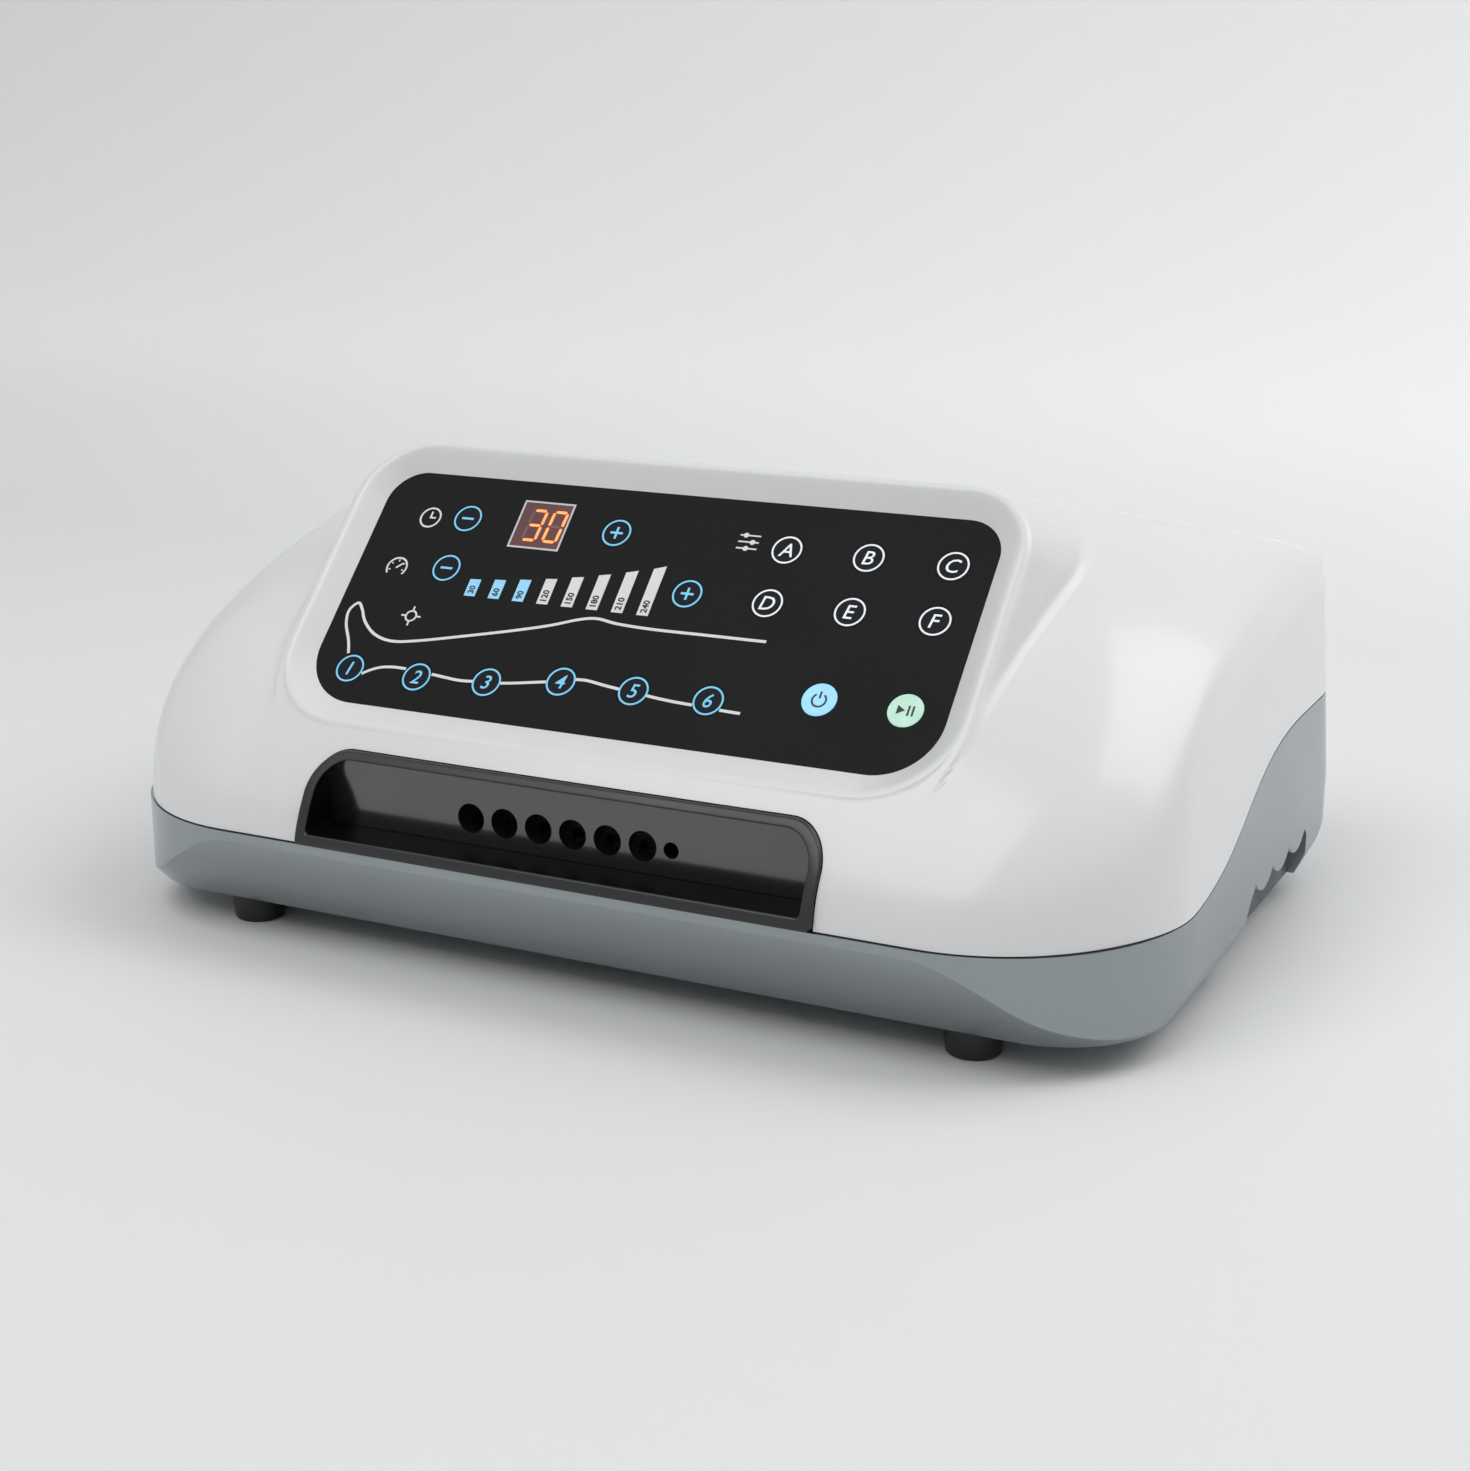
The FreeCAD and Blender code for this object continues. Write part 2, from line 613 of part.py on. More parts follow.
def rim_wedge(inset):
    """The raised frame round the panel: its flanks start at 45 degrees and steepen, its top end is gentle."""
    side = size("rim_inner_side") + size("rim_crest") - inset
    end = size("rim_inner_top") + size("rim_crest") - inset
    rounding = size("rim_round") - inset
    steps = 5
    outlines = []
    for step in range(steps, -1, -1):
        drop = size("rim_flank_drop") * (step / steps) ** 2
        run = size("rim_flank_run") * (step / steps) ** size("rim_flank_power")
        outlines.append(rounded_outline(
            size("overlay_half_width") + side + run, size("overlay_low") - end - run,
            size("overlay_high") + end + size("rim_back_slope") * drop,
            size("overlay_low_corner") + rounding + run, size("overlay_corner") + rounding + run,
            size("rim_height") - drop - inset))
    wedge = on_panel(Part.makeLoft(outlines, True, inset > 0))
    reach = size("case_width")
    return wedge.common(Part.makeBox(2 * reach, 2 * reach, reach, Vector(-reach, -reach, size("seam_front"))))


def rim_recess():
    """The sloped inside of the rim and the seat of the black plate."""
    height = size("rim_height")
    lift = 30.0
    rise = 1 + lift / height
    side = size("rim_inner_side")
    end = size("rim_inner_top")
    rounding = size("rim_round") - size("rim_crest")
    edge = panel_outline(0, 0, 0, 0)
    crest = panel_outline(side, end, rounding, height)
    above = panel_outline(side * rise, end * rise, rounding * rise, height + lift)
    slope = Part.makeLoft([edge, crest], True, True).fuse(Part.makeLoft([crest, above], True, True))
    fit = size("overlay_fit")
    seat = Part.Face(panel_outline(fit, fit, fit, -size("overlay_thickness")))
    seat = seat.extrude(Vector(0, 0, size("overlay_thickness") + height / 2))
    return on_panel(slope.removeSplitter()), on_panel(seat)


def outer_upper_form():
    """The case above the front seam, without the rim: upright walls under the smooth dome."""
    return drafted_walls(0).common(pillow(0, 11, 9, True))


def inner_upper_form():
    """The space under the dome, in plain facets."""
    wall = size("case_wall")
    return drafted_walls(wall).common(pillow(wall, 9, 6, False))


def hull_outline(inset, height):
    """The hull's outline at a height: it grows upwards along a power curve."""
    low = size("foot_gap")
    share = (height - low) / (size("seam_front") - low)
    curve = 1 - (1 - share) ** size("hull_bulge")
    side = size("hull_side_step") * (height - low - size("hull_side_height")) / size("hull_side_height")
    half_depth = size("case_depth") / 2
    margin = size("trim_margin") * curve
    front = -half_depth + size("hull_front_step") * (1 - curve) - margin
    rear = half_depth - size("hull_rear_step") * (1 - curve) + margin
    radius = size("hull_corner") + size("hull_corner_growth") * share - inset
    return rounded_outline(half_width_at(inset) + side, front + inset, rear - inset, radius, radius, height)


def lower_form(inset, bottom):
    """The case below the front seam: upright walls trimmed by the hull, smooth outside and plain inside."""
    top = size("seam_front")
    walls = Part.Face(plan_outline(inset, bottom, 0)).extrude(Vector(0, 0, top - bottom))
    steps = 3
    low = size("foot_gap")
    outlines = [hull_outline(inset, low + (top - low) * step / steps) for step in range(steps + 1)]
    hull = Part.makeLoft(outlines, True, inset > 0)
    return walls.common(hull)


def seam_tool(shift, upwards):
    """Everything above or below the seam, an S-curve seen from the side."""
    low = size("seam_front") + shift
    high = size("seam_rear") + shift
    start = size("seam_rise_start")
    end = size("seam_rise_end")
    reach = size("case_depth")
    half = size("case_width")
    far = size("roof_height") + 40 if upwards else -10.0
    middle = (start + end) / 2
    rise = Part.BezierCurve()
    rise.setPoles([Vector(-half, start, low), Vector(-half, middle, low),
                   Vector(-half, middle, high), Vector(-half, end, high)])
    edges = [
        Part.LineSegment(Vector(-half, -reach, low), Vector(-half, start, low)).toShape(),
        rise.toShape(),
        Part.LineSegment(Vector(-half, end, high), Vector(-half, reach, high)).toShape(),
        Part.LineSegment(Vector(-half, reach, high), Vector(-half, reach, far)).toShape(),
        Part.LineSegment(Vector(-half, reach, far), Vector(-half, -reach, far)).toShape(),
        Part.LineSegment(Vector(-half, -reach, far), Vector(-half, -reach, low)).toShape(),
    ]
    return Part.Face(Part.Wire(edges)).extrude(Vector(2 * half, 0, 0))


def deck_space(grow, low, height):
    """A space under or over the panel: the crest's outline grown, from a level upwards."""
    outline = panel_outline(grow, grow, size("rim_round"), low)
    return on_panel(Part.Face(outline).extrude(Vector(0, 0, height)))


def case_forms():
    """The outer form of the case and its cavity."""
    wall = size("case_wall")
    upper = outer_upper_form().fuse(rim_wedge(0)).common(under_roof(0))
    slope, seat = rim_recess()
    upper = upper.cut(slope).cut(seat)
    outer = upper.fuse(lower_form(0, size("foot_gap")))
    depth = size("overlay_thickness") + size("deck_wall")
    crest = size("rim_inner_side") + size("rim_crest")
    reach = size("rim_flank_drop")
    behind_panel = deck_space(crest - wall, -depth - reach, reach)
    cavity = inner_upper_form().fuse([behind_panel, rim_wedge(wall)]).common(under_roof(wall))
    cavity = cavity.cut(deck_space(crest, -depth, depth + reach))
    cavity = cavity.fuse(lower_form(wall, size("foot_gap") + size("floor_wall")))
    return outer.removeSplitter(), cavity.removeSplitter()


outer_shape, cavity_shape = case_forms()
case_outer = feature(outer_shape, "case_outer")
case_skin = feature(outer_shape.cut(cavity_shape), "case_skin")
above_seam = feature(seam_tool(size("seam_gap") / 2, True), "above_seam")
below_seam = feature(seam_tool(-size("seam_gap") / 2, False), "below_seam")


# ---- places that several sub-parts share ----

STEM_TIP = "(overlay_thickness + deck_wall + stem_reach)"
BOARD_TOP = f"({STEM_TIP} + key_travel + switch_slack + switch_height)"
BOARD_BACK = f"({BOARD_TOP} + board_thickness)"
FLOOR = "(foot_gap + floor_wall)"
SOCKET_BACK = "(socket_depth - case_depth / 2)"
MANIFOLD_REAR = f"({SOCKET_BACK} + manifold_depth)"
VALVE_FRONT = f"({MANIFOLD_REAR} + hose_length)"
VALVE_REAR = f"({VALVE_FRONT} + valve_length)"
VALVE_BOTTOM = "(port_z - valve_height / 2)"
PUMP_BOTTOM = f"({FLOOR} + mount_height)"
PUMP_AXIS = f"({PUMP_BOTTOM} + pump_plate + core_height / 2)"
HEAD_START = "(pump_length / 2 + diaphragm_thickness)"
REAR_WALL = "(case_depth / 2 - (inlet_z - seam_front) * tan(side_draft))"
SIDES = (-1, 1)
PORTS = range(6)

KEYS = {
    "time_minus": ("setting_x", "time_v"),
    "time_plus": ("time_plus_x", "time_v"),
    "pressure_minus": ("setting_x", "pressure_v"),
    "pressure_plus": ("pressure_plus_x", "pressure_v"),
    "power": ("mode_x + mode_pitch", "start_v"),
    "start": ("mode_x + 2 * mode_pitch", "start_v"),
}
for number, letter in enumerate("abcdef"):
    column, row = number % 3, number // 3
    KEYS[f"mode_{letter}"] = (f"mode_x + {column} * mode_pitch", f"mode_v - {row} * mode_drop")
for number, region in enumerate(("heel", "heel", "ankle", "calf", "calf", "calf")):
    KEYS[f"zone_{number + 1}"] = (f"zone_x + {number} * zone_pitch", f"zone_{region}_v")

BOARD_POSTS = [(f"{side} * post_x", v) for side in SIDES for v in ("post_low", "post_high")]
ENDS = {"front": -1, "rear": 1}
CASE_BOSSES = [(f"{side} * (case_width / 2 - {end}_boss_side)", f"{way} * (case_depth / 2 - {end}_boss_end)",
                f"seam_{end}") for side in SIDES for end, way in ENDS.items()]
FOOT_PLACES = [(f"{side} * (case_width / 2 - {end}_foot_side)", f"{way} * (case_depth / 2 - {end}_foot_end)")
               for end, way in ENDS.items() for side in SIDES]
POWER_POSTS = [(f"power_board_x + {side} * (power_board_length / 2 - power_post_inset)",
                f"power_board_y + {end} * (power_board_width / 2 - power_post_inset)")
               for side in SIDES for end in SIDES]


def port_x(number):
    """The place across of one air bore and of the valve behind it."""
    return f"port_first_x + {number} * port_pitch"


def panel_cylinder(radius, x, v, low, length):
    """A cylinder square to the panel, from a level upwards."""
    return place_on_panel(cylinder(radius, length), x, v, low)


def panel_box(length, width, height, x, v, low):
    """A box square to the panel, centred on x and v."""
    return place_on_panel(box(length, width, height), f"{x} - ({length}) / 2", f"({v}) - ({width}) / 2", low)


def upright_outline(half_width, low, high, corner, y):
    """An outline that stands across the case at depth y, with large upper corners and small lower ones."""
    wire = rounded_outline(half_width, low, high, size("bezel_foot_corner"), corner, -y)
    wire.rotate(Vector(0, 0, 0), Vector(1, 0, 0), 90)
    return wire


# ---- case ----

def make_top_shell():
    """The upper case with bosses and posts inside, key holes, display window and socket opening."""
    skin = common(case_skin, above_seam)
    bosses = [upright("boss_radius", "roof_height", x, y, 0) for x, y, seam in CASE_BOSSES]
    inner_bosses = doc.addObject("Part::MultiCommon", "bosses")
    inner_bosses.Shapes = [fuse(*bosses), case_outer, above_seam]
    post_length = f"{BOARD_TOP} - overlay_thickness - deck_wall / 2"
    posts = [panel_cylinder("post_radius", x, v, f"-{BOARD_TOP}", post_length) for x, v in BOARD_POSTS]
    stem_hole = "key_stem_width + 2 * key_stem_gap"
    holes = [panel_box(stem_hole, stem_hole, BOARD_TOP, x, v, f"-{BOARD_TOP}") for x, v in KEYS.values()]
    holes += [panel_cylinder("screw_radius + thread_gap", x, v, f"-{BOARD_TOP} - 1", "board_screw_bite + 2")
              for x, v in BOARD_POSTS]
    holes += [upright("screw_radius + thread_gap", "boss_bite + 2", x, y, f"{seam} - 1")
              for x, y, seam in CASE_BOSSES]
    holes.append(panel_box("display_width + 2 * display_fit", "display_height + 2 * display_fit",
                           BOARD_TOP, "display_x", "display_v", f"-{BOARD_TOP}"))
    fit = size("bezel_fit")
    opening = upright_outline(size("bezel_half_width") + fit, size("seam_front") - MARGIN,
                              size("bezel_high") + fit, size("bezel_corner") + fit, -size("case_depth"))
    run = size("case_depth") / 2 + size("socket_depth") + MARGIN
    holes.append(feature(Part.Face(opening).extrude(Vector(0, run, 0)), "socket_opening"))
    return sub_part(cut(fuse(skin, inner_bosses, *posts), *holes), "top_shell")


def recess_tool():
    """The toothed recess seen from the side: a slanted lead, lobes that hang between teeth, a short end."""
    start = size("recess_start")
    crown = size("recess_crown")
    sag = size("recess_sag")
    pitch = size("recess_pitch")
    tip = start - size("recess_lead")
    end = start + size("recess_teeth") * pitch
    tail = end + size("recess_tail")
    below = 0.0
    corners = [(end, crown), (tail, sag + size("recess_tail_rise")), (tail, below), (tip, below),
               (tip, sag - size("recess_lead_drop")), (start - size("recess_lead_top"), sag), (start, crown)]
    edges = [Part.LineSegment(Vector(0, *a), Vector(0, *b)).toShape() for a, b in zip(corners, corners[1:])]
    for tooth in range(int(size("recess_teeth"))):
        y = start + tooth * pitch
        lobe = Part.Arc(Vector(0, y, crown), Vector(0, y + pitch / 2, sag), Vector(0, y + pitch, crown))
        edges.append(lobe.toShape())
    return Part.Face(Part.Wire(edges)).extrude(Vector(size("recess_depth") + 5, 0, 0))


def make_base_shell():
    """The lower case with bosses, board posts and the backs of the side recesses."""
    skin = common(case_skin, below_seam)
    back_length = "(recess_lead + recess_teeth * recess_pitch + recess_tail + 2 * recess_back)"
    backs = [centred_box("recess_depth + recess_back", back_length, "recess_crown + recess_back - foot_gap",
                         f"{side} * (case_width - recess_depth - recess_back) / 2",
                         f"recess_start - recess_lead - recess_back + {back_length} / 2", "foot_gap")
             for side in SIDES]
    bosses = [upright("boss_radius", "seam_rear", x, y, "foot_gap") for x, y, seam in CASE_BOSSES]
    inner = doc.addObject("Part::MultiCommon", "base_inner")
    inner.Shapes = [fuse(*backs, *bosses), case_outer, below_seam]
    posts = [upright("post_radius", "power_post_height + 1", x, y, f"{FLOOR} - 1") for x, y in POWER_POSTS]
    tools = []
    for side in SIDES:
        tool = feature(recess_tool(), "recess")
        tool.Placement.Base = Vector(size("case_width") / 2 - size("recess_depth"), 0, 0)
        if side < 0:
            tool.Placement = FreeCAD.Placement(Vector(-size("case_width") / 2 - 5, 0, 0), FreeCAD.Rotation())
        tools.append(tool)
    for x, y, seam in CASE_BOSSES:
        tools.append(upright("screw_head + 2 * screw_gap", f"{seam} - boss_seat", x, y, 0))
        tools.append(upright("screw_radius + screw_gap", "seam_rear", x, y, 1))
    for x, y in POWER_POSTS:
        tools.append(upright("screw_radius + thread_gap", "board_screw_bite + 2", x, y,
                             f"{FLOOR} + power_post_height - board_screw_bite - 1"))
    for x, y in FOOT_PLACES:
        tools.append(upright("foot_radius + foot_flare + foot_fit", "foot_seat + 2", x, y, "foot_gap - 2"))
    tools.append(centred_box("inlet_width + 2 * inlet_fit", "20", "inlet_height + 2 * inlet_fit",
                             "inlet_x", "case_depth / 2", "inlet_z - inlet_height / 2 - inlet_fit"))
    return sub_part(cut(fuse(skin, inner, *posts), *tools), "base_shell")


def make_feet():
    """Four rubber feet, wider at the case, each in a seat of the floor."""
    top = "foot_gap + foot_seat"
    names = ("foot_front_left", "foot_front_right", "foot_rear_left", "foot_rear_right")
    for node, (x, y) in zip(names, FOOT_PLACES):
        foot = revolved([("0", "0"), ("foot_radius", "0"), ("foot_radius + foot_flare", top), ("0", top)])
        sub_part(place(foot, x, y, 0), node)


def make_case_screws():
    """Four screws that go up through the base bosses into the top shell."""
    solids = []
    for x, y, seam in CASE_BOSSES:
        head = upright("screw_head", "screw_head_height", x, y, f"{seam} - boss_seat - screw_head_height")
        shank = upright("screw_radius", "boss_seat + boss_bite", x, y, f"{seam} - boss_seat")
        solids.append(fuse(head, shank))
    sub_part(group(*solids), "case_screws")


# ---- touch panel ----

def make_overlay():
    """The black plate, with a guide hole for each key and a window for the display."""
    outline = Part.Face(panel_outline(0, 0, 0, -size("overlay_thickness")))
    plate = feature(on_panel(outline.extrude(Vector(0, 0, size("overlay_thickness")))), "plate")
    low = "-overlay_thickness - 1"
    holes = [panel_cylinder("key_radius + key_guide", x, v, low, "overlay_thickness + 2")
             for x, v in KEYS.values()]
    holes.append(panel_box("display_width + 2 * display_fit", "display_height + 2 * display_fit",
                           "overlay_thickness + 2", "display_x", "display_v", low))
    sub_part(cut(plate, *holes), "panel_overlay")


def make_keys():
    """Eighteen keys: a round cap flush with the plate on a square stem that reaches through the deck."""
    for name, (x, v) in KEYS.items():
        cap = panel_cylinder("key_radius", x, v, "-key_cap", "key_cap")
        stem = panel_box("key_stem_width", "key_stem_width", f"{STEM_TIP} - key_cap", x, v, f"-{STEM_TIP}")
        sub_part(fuse(cap, stem), f"key_{name}")


def make_display():
    """The display module, flush with the plate and standing on the control board."""
    module = panel_box("display_width", "display_height", BOARD_TOP,
                       "display_x", "display_v", f"-{BOARD_TOP}")
    sub_part(module, "display_module")


def make_control_board():
    """The control board under the deck, its switches and its screws."""
    board = panel_box("2 * board_half_width", "board_high - board_low", "board_thickness",
                      "0", "(board_high + board_low) / 2", f"-{BOARD_BACK}")
    holes = [panel_cylinder("screw_radius + screw_gap", x, v, f"-{BOARD_BACK} - 1", "board_thickness + 2")
             for x, v in BOARD_POSTS]
    sub_part(cut(board, *holes), "control_board")
    switches = []
    for x, v in KEYS.values():
        body = panel_box("switch_width", "switch_width", "switch_body", x, v, f"-{BOARD_TOP}")
        button = panel_box("switch_button", "switch_button", "switch_height - switch_body", x, v,
                           f"-{BOARD_TOP} + switch_body")
        switches.append(fuse(body, button))
    sub_part(group(*switches), "tact_switches")


def make_board_screws():
    """Four screws of the control board and four of the power board."""
    solids = []
    for x, v in BOARD_POSTS:
        head = panel_cylinder("screw_head", x, v, f"-{BOARD_BACK} - screw_head_height", "screw_head_height")
        shank = panel_cylinder("screw_radius", x, v, f"-{BOARD_BACK}", "board_thickness + board_screw_bite")
        solids.append(fuse(head, shank))
    top = f"{FLOOR} + power_post_height + board_thickness"
    for x, y in POWER_POSTS:
        head = upright("screw_head", "screw_head_height", x, y, top)
        shank = upright("screw_radius", "board_thickness + board_screw_bite", x, y,
                        f"{FLOOR} + power_post_height - board_screw_bite")
        solids.append(fuse(head, shank))
    sub_part(group(*solids), "board_screws")


# ---- hose socket ----

def make_port_bezel():
    """The black frame round the hose socket, its face parallel to the front slope."""
    half_width = size("bezel_half_width")
    low = size("bezel_low")
    high = size("bezel_high")
    corner = size("bezel_corner")
    side = size("bezel_flange_side")
    top = size("bezel_flange_top")
    front = -size("case_depth")
    rear = -size("case_depth") / 2 + size("socket_depth") + size("manifold_depth") / 4
    blank = Part.Face(upright_outline(half_width, low, high, corner, front))
    blank = blank.extrude(Vector(0, rear - front, 0))
    slope = pillow_section(0, -size("bezel_proud"), 9, True)
    slope.translate(Vector(-half_width - 5, 0, 0))
    blank = blank.common(Part.Face(slope).extrude(Vector(2 * half_width + 10, 0, 0)))
    mouth = upright_outline(half_width - side, low + side, high - top, corner - top, front)
    bezel = cut(feature(blank, "bezel_blank"),
                feature(Part.Face(mouth).extrude(Vector(0, 2 * size("case_depth"), 0)), "bezel_mouth"))
    sub_part(bezel, "port_bezel")


def make_port_manifold():
    """The bored block behind the socket: six air bores, a locating bore and a nipple behind each air bore."""
    fit = size("manifold_fit")
    side = size("bezel_flange_side") + fit
    top = size("bezel_flange_top") + fit
    start = -size("case_depth") / 2 + size("socket_depth")
    outline = upright_outline(size("bezel_half_width") - side, size("bezel_low") + side,
                              size("bezel_high") - top, size("bezel_corner") - top, start)
    block = feature(Part.Face(outline).extrude(Vector(0, size("manifold_depth"), 0)), "manifold_block")
    nipples = [along_y("nipple_radius", "nipple_length", port_x(number), MANIFOLD_REAR, "port_z")
               for number in PORTS]
    bores = [along_y("port_radius", "port_depth + 1", port_x(number), f"{SOCKET_BACK} - 1", "port_z")
             for number in PORTS]
    bores += [along_y("duct_radius", "manifold_depth + nipple_length", port_x(number),
                      f"{SOCKET_BACK} + 1", "port_z") for number in PORTS]
    bores.append(along_y("locator_radius", "port_depth + 1", "locator_x", f"{SOCKET_BACK} - 1", "port_z"))
    sub_part(cut(fuse(block, *nipples), *bores), "port_manifold")


# ---- valves and rail ----

def make_valves():
    """Six solenoid valves on the air rail, each with a plunger in its bore."""
    bore_depth = "(plunger_length + plunger_travel + plunger_rest)"
    plunger_bottom = f"({VALVE_BOTTOM} + valve_height - {bore_depth} + plunger_rest)"
    for number in PORTS:
        x = port_x(number)
        y = f"{VALVE_FRONT} + valve_length / 2"
        body = centred_box("valve_width", "valve_length", "valve_height", x, y, VALVE_BOTTOM)
        nipple = along_y("nipple_radius", "nipple_length", x, f"{VALVE_FRONT} - nipple_length", "port_z")
        bore = upright("plunger_radius + plunger_fit", f"{bore_depth} + 1", x, y,
                       f"{VALVE_BOTTOM} + valve_height - {bore_depth}")
        sub_part(cut(fuse(body, nipple), bore), f"solenoid_valve_{number + 1}")
        plunger = upright("plunger_radius", "plunger_length", x, y, plunger_bottom)
        sub_part(plunger, f"valve_plunger_{number + 1}")


def make_valve_rail():
    """The air rail that carries the valves and takes the air from both pump hoses."""
    length = "(5 * port_pitch + valve_width + 2 * rail_end)"
    middle = "(port_first_x + 2.5 * port_pitch)"
    right = f"({middle} + {length} / 2)"
    y = f"({VALVE_FRONT} + valve_length / 2)"
    block = centred_box(length, "valve_length", f"{VALVE_BOTTOM} - {FLOOR}", middle, y, FLOOR)
    rear_nipple = along_y("nipple_radius", "nipple_length", "rail_port_x", VALVE_REAR, "rail_port_z")
    end_nipple = along_x("nipple_radius", "nipple_length", right, y, "rail_port_z")
    sub_part(fuse(block, rear_nipple, end_nipple), "valve_rail")


def make_air_hoses():
    """Six short hoses to the manifold, one from the left pump head and a bent one from the right head."""
    solids = []
    bore = "nipple_radius + hose_fit"
    outer = f"{bore} + hose_wall"
    for number in PORTS:
        x = port_x(number)
        tube = along_y(outer, "hose_length", x, MANIFOLD_REAR, "port_z")
        hollow = along_y(bore, "hose_length + 2", x, f"{MANIFOLD_REAR} - 1", "port_z")
        solids.append(cut(tube, hollow))
    run = f"(pump_y - head_width / 2 - {VALVE_REAR})"
    tube = along_y(outer, run, "rail_port_x", VALVE_REAR, "rail_port_z")
    hollow = along_y(bore, f"{run} + 2", "rail_port_x", f"{VALVE_REAR} - 1", "rail_port_z")
    solids.append(cut(tube, hollow))
    solids.append(feature(right_hose(), "right_hose"))
    sub_part(group(*solids), "air_hoses")


def right_hose():
    """The hose from the rail's end to the right pump head, a quarter bend, hollow where nipples enter."""
    inner = size("nipple_radius") + size("hose_fit")
    outer = inner + size("hose_wall")
    z = size("rail_port_z")
    y = expression_value(f"{VALVE_FRONT} + valve_length / 2")
    start = expression_value("port_first_x + 5 * port_pitch + valve_width / 2 + rail_end")
    far = expression_value("2 * pump_x - rail_port_x")
    end = expression_value("pump_y - head_width / 2")
    bend = size("hose_bend")
    corner = Vector(far - bend, y + bend, z)
    tip = corner + Vector(bend, -bend, 0) * math.sqrt(0.5)
    path = Part.Wire([
        Part.LineSegment(Vector(start, y, z), Vector(far - bend, y, z)).toShape(),
        Part.Arc(Vector(far - bend, y, z), tip, Vector(far, y + bend, z)).toShape(),
        Part.LineSegment(Vector(far, y + bend, z), Vector(far, end, z)).toShape(),
    ])
    ring = Part.Wire(Part.makeCircle(outer, Vector(start, y, z), Vector(1, 0, 0)))
    depth = size("nipple_length") + size("hose_fit")
    rail_end = Part.makeCylinder(inner, depth, Vector(start, y, z), Vector(1, 0, 0))
    head_end = Part.makeCylinder(inner, depth, Vector(far, end, z), Vector(0, -1, 0))
    return path.makePipeShell([ring], True, False).cut([rail_end, head_end])


# ---- air pump ----

def make_pump_frame():
    """The pump's steel frame: a base plate and two bored end plates."""
    outer = centred_box("pump_length", "pump_width", "pump_height", "pump_x", "pump_y", PUMP_BOTTOM)
    inner = centred_box("pump_length - 2 * pump_plate", "pump_width + 2", "pump_height",
                        "pump_x", "pump_y", f"{PUMP_BOTTOM} + pump_plate")
    bore = along_x("chamber_radius", "pump_length + 2", "pump_x - pump_length / 2 - 1", "pump_y", PUMP_AXIS)
    sub_part(cut(outer, inner, bore), "pump_frame")
    mounts = []
    for side in SIDES:
        x = f"pump_x + {side} * (pump_length / 2 - mount_inset)"
        for end in SIDES:
            y = f"pump_y + {end} * (pump_width / 2 - mount_inset)"
            mounts.append(upright("mount_radius", "mount_height", x, y, FLOOR))
    sub_part(group(*mounts), "pump_mounts")


def make_pump_magnets():
    """The iron core with its window, and a winding round each of its legs."""
    core = centred_box("core_length", "core_width", "core_height", "pump_x", "pump_y",
                       f"{PUMP_BOTTOM} + pump_plate")
    window = centred_box("core_length + 2", "window_width", "window_height", "pump_x", "pump_y",
                         f"{PUMP_AXIS} - window_height / 2")
    sub_part(cut(core, window), "pump_core")
    leg = "((core_width - window_width) / 2)"
    coils = []
    for side in SIDES:
        y = f"pump_y + {side} * (core_width - {leg}) / 2"
        z = f"{PUMP_AXIS} - window_height / 2 + coil_gap"
        winding = centred_box("core_length + 2 * coil_wall", f"{leg} + 2 * coil_wall",
                              "window_height - 2 * coil_gap", "pump_x", y, z)
        hole = centred_box("core_length + 2 * coil_gap", f"{leg} + 2 * coil_gap", "window_height",
                           "pump_x", y, f"{PUMP_AXIS} - window_height / 2")
        coils.append(cut(winding, hole))
    sub_part(group(*coils), "pump_coils")


def make_pump_armature():
    """The moving bar with a stud and two clamp discs at each end."""
    bar = centred_box("armature_length", "armature_width", "armature_height", "pump_x", "pump_y",
                      f"{PUMP_AXIS} - armature_height / 2")
    reach = f"({HEAD_START} + clamp_thickness)"
    stud = along_x("stud_radius", f"2 * {reach}", f"pump_x - {reach}", "pump_y", PUMP_AXIS)
    starts = (f"-{reach}", "-pump_length / 2", "pump_length / 2 - clamp_thickness", HEAD_START)
    discs = [along_x("clamp_radius", "clamp_thickness", f"pump_x + {start}", "pump_y", PUMP_AXIS)
             for start in starts]
    sub_part(fuse(bar, stud, *discs), "pump_armature")


def make_pump_heads():
    """Two diaphragms and the heads that clamp them, each head with an outlet nipple at its front."""
    diaphragms = []
    for side, start in ((-1, f"-{HEAD_START}"), (1, "pump_length / 2")):
        disc = along_x("diaphragm_radius", "diaphragm_thickness", f"pump_x + {start}", "pump_y", PUMP_AXIS)
        hole = along_x("stud_radius + stud_fit", "diaphragm_thickness + 2", f"pump_x + {start} - 1",
                       "pump_y", PUMP_AXIS)
        diaphragms.append(cut(disc, hole))
    sub_part(group(*diaphragms), "pump_diaphragms")
    for side, node in zip(SIDES, ("pump_head_left", "pump_head_right")):
        middle = f"pump_x + {side} * ({HEAD_START} + head_depth / 2)"
        outlet = f"pump_x + {side} * (pump_x - rail_port_x)"
        block = centred_box("head_depth", "head_width", "head_height", middle, "pump_y",
                            f"{PUMP_AXIS} - head_height / 2")
        front = "(pump_y - head_width / 2)"
        nipple = along_y("nipple_radius", "nipple_length", outlet, f"{front} - nipple_length", "rail_port_z")
        chamber_start = f"pump_x + {HEAD_START} - 1" if side > 0 else f"pump_x - {HEAD_START} - chamber_depth"
        chamber = along_x("chamber_radius", "chamber_depth + 1", chamber_start, "pump_y", PUMP_AXIS)
        sub_part(cut(fuse(block, nipple), chamber), node)


# ---- power ----

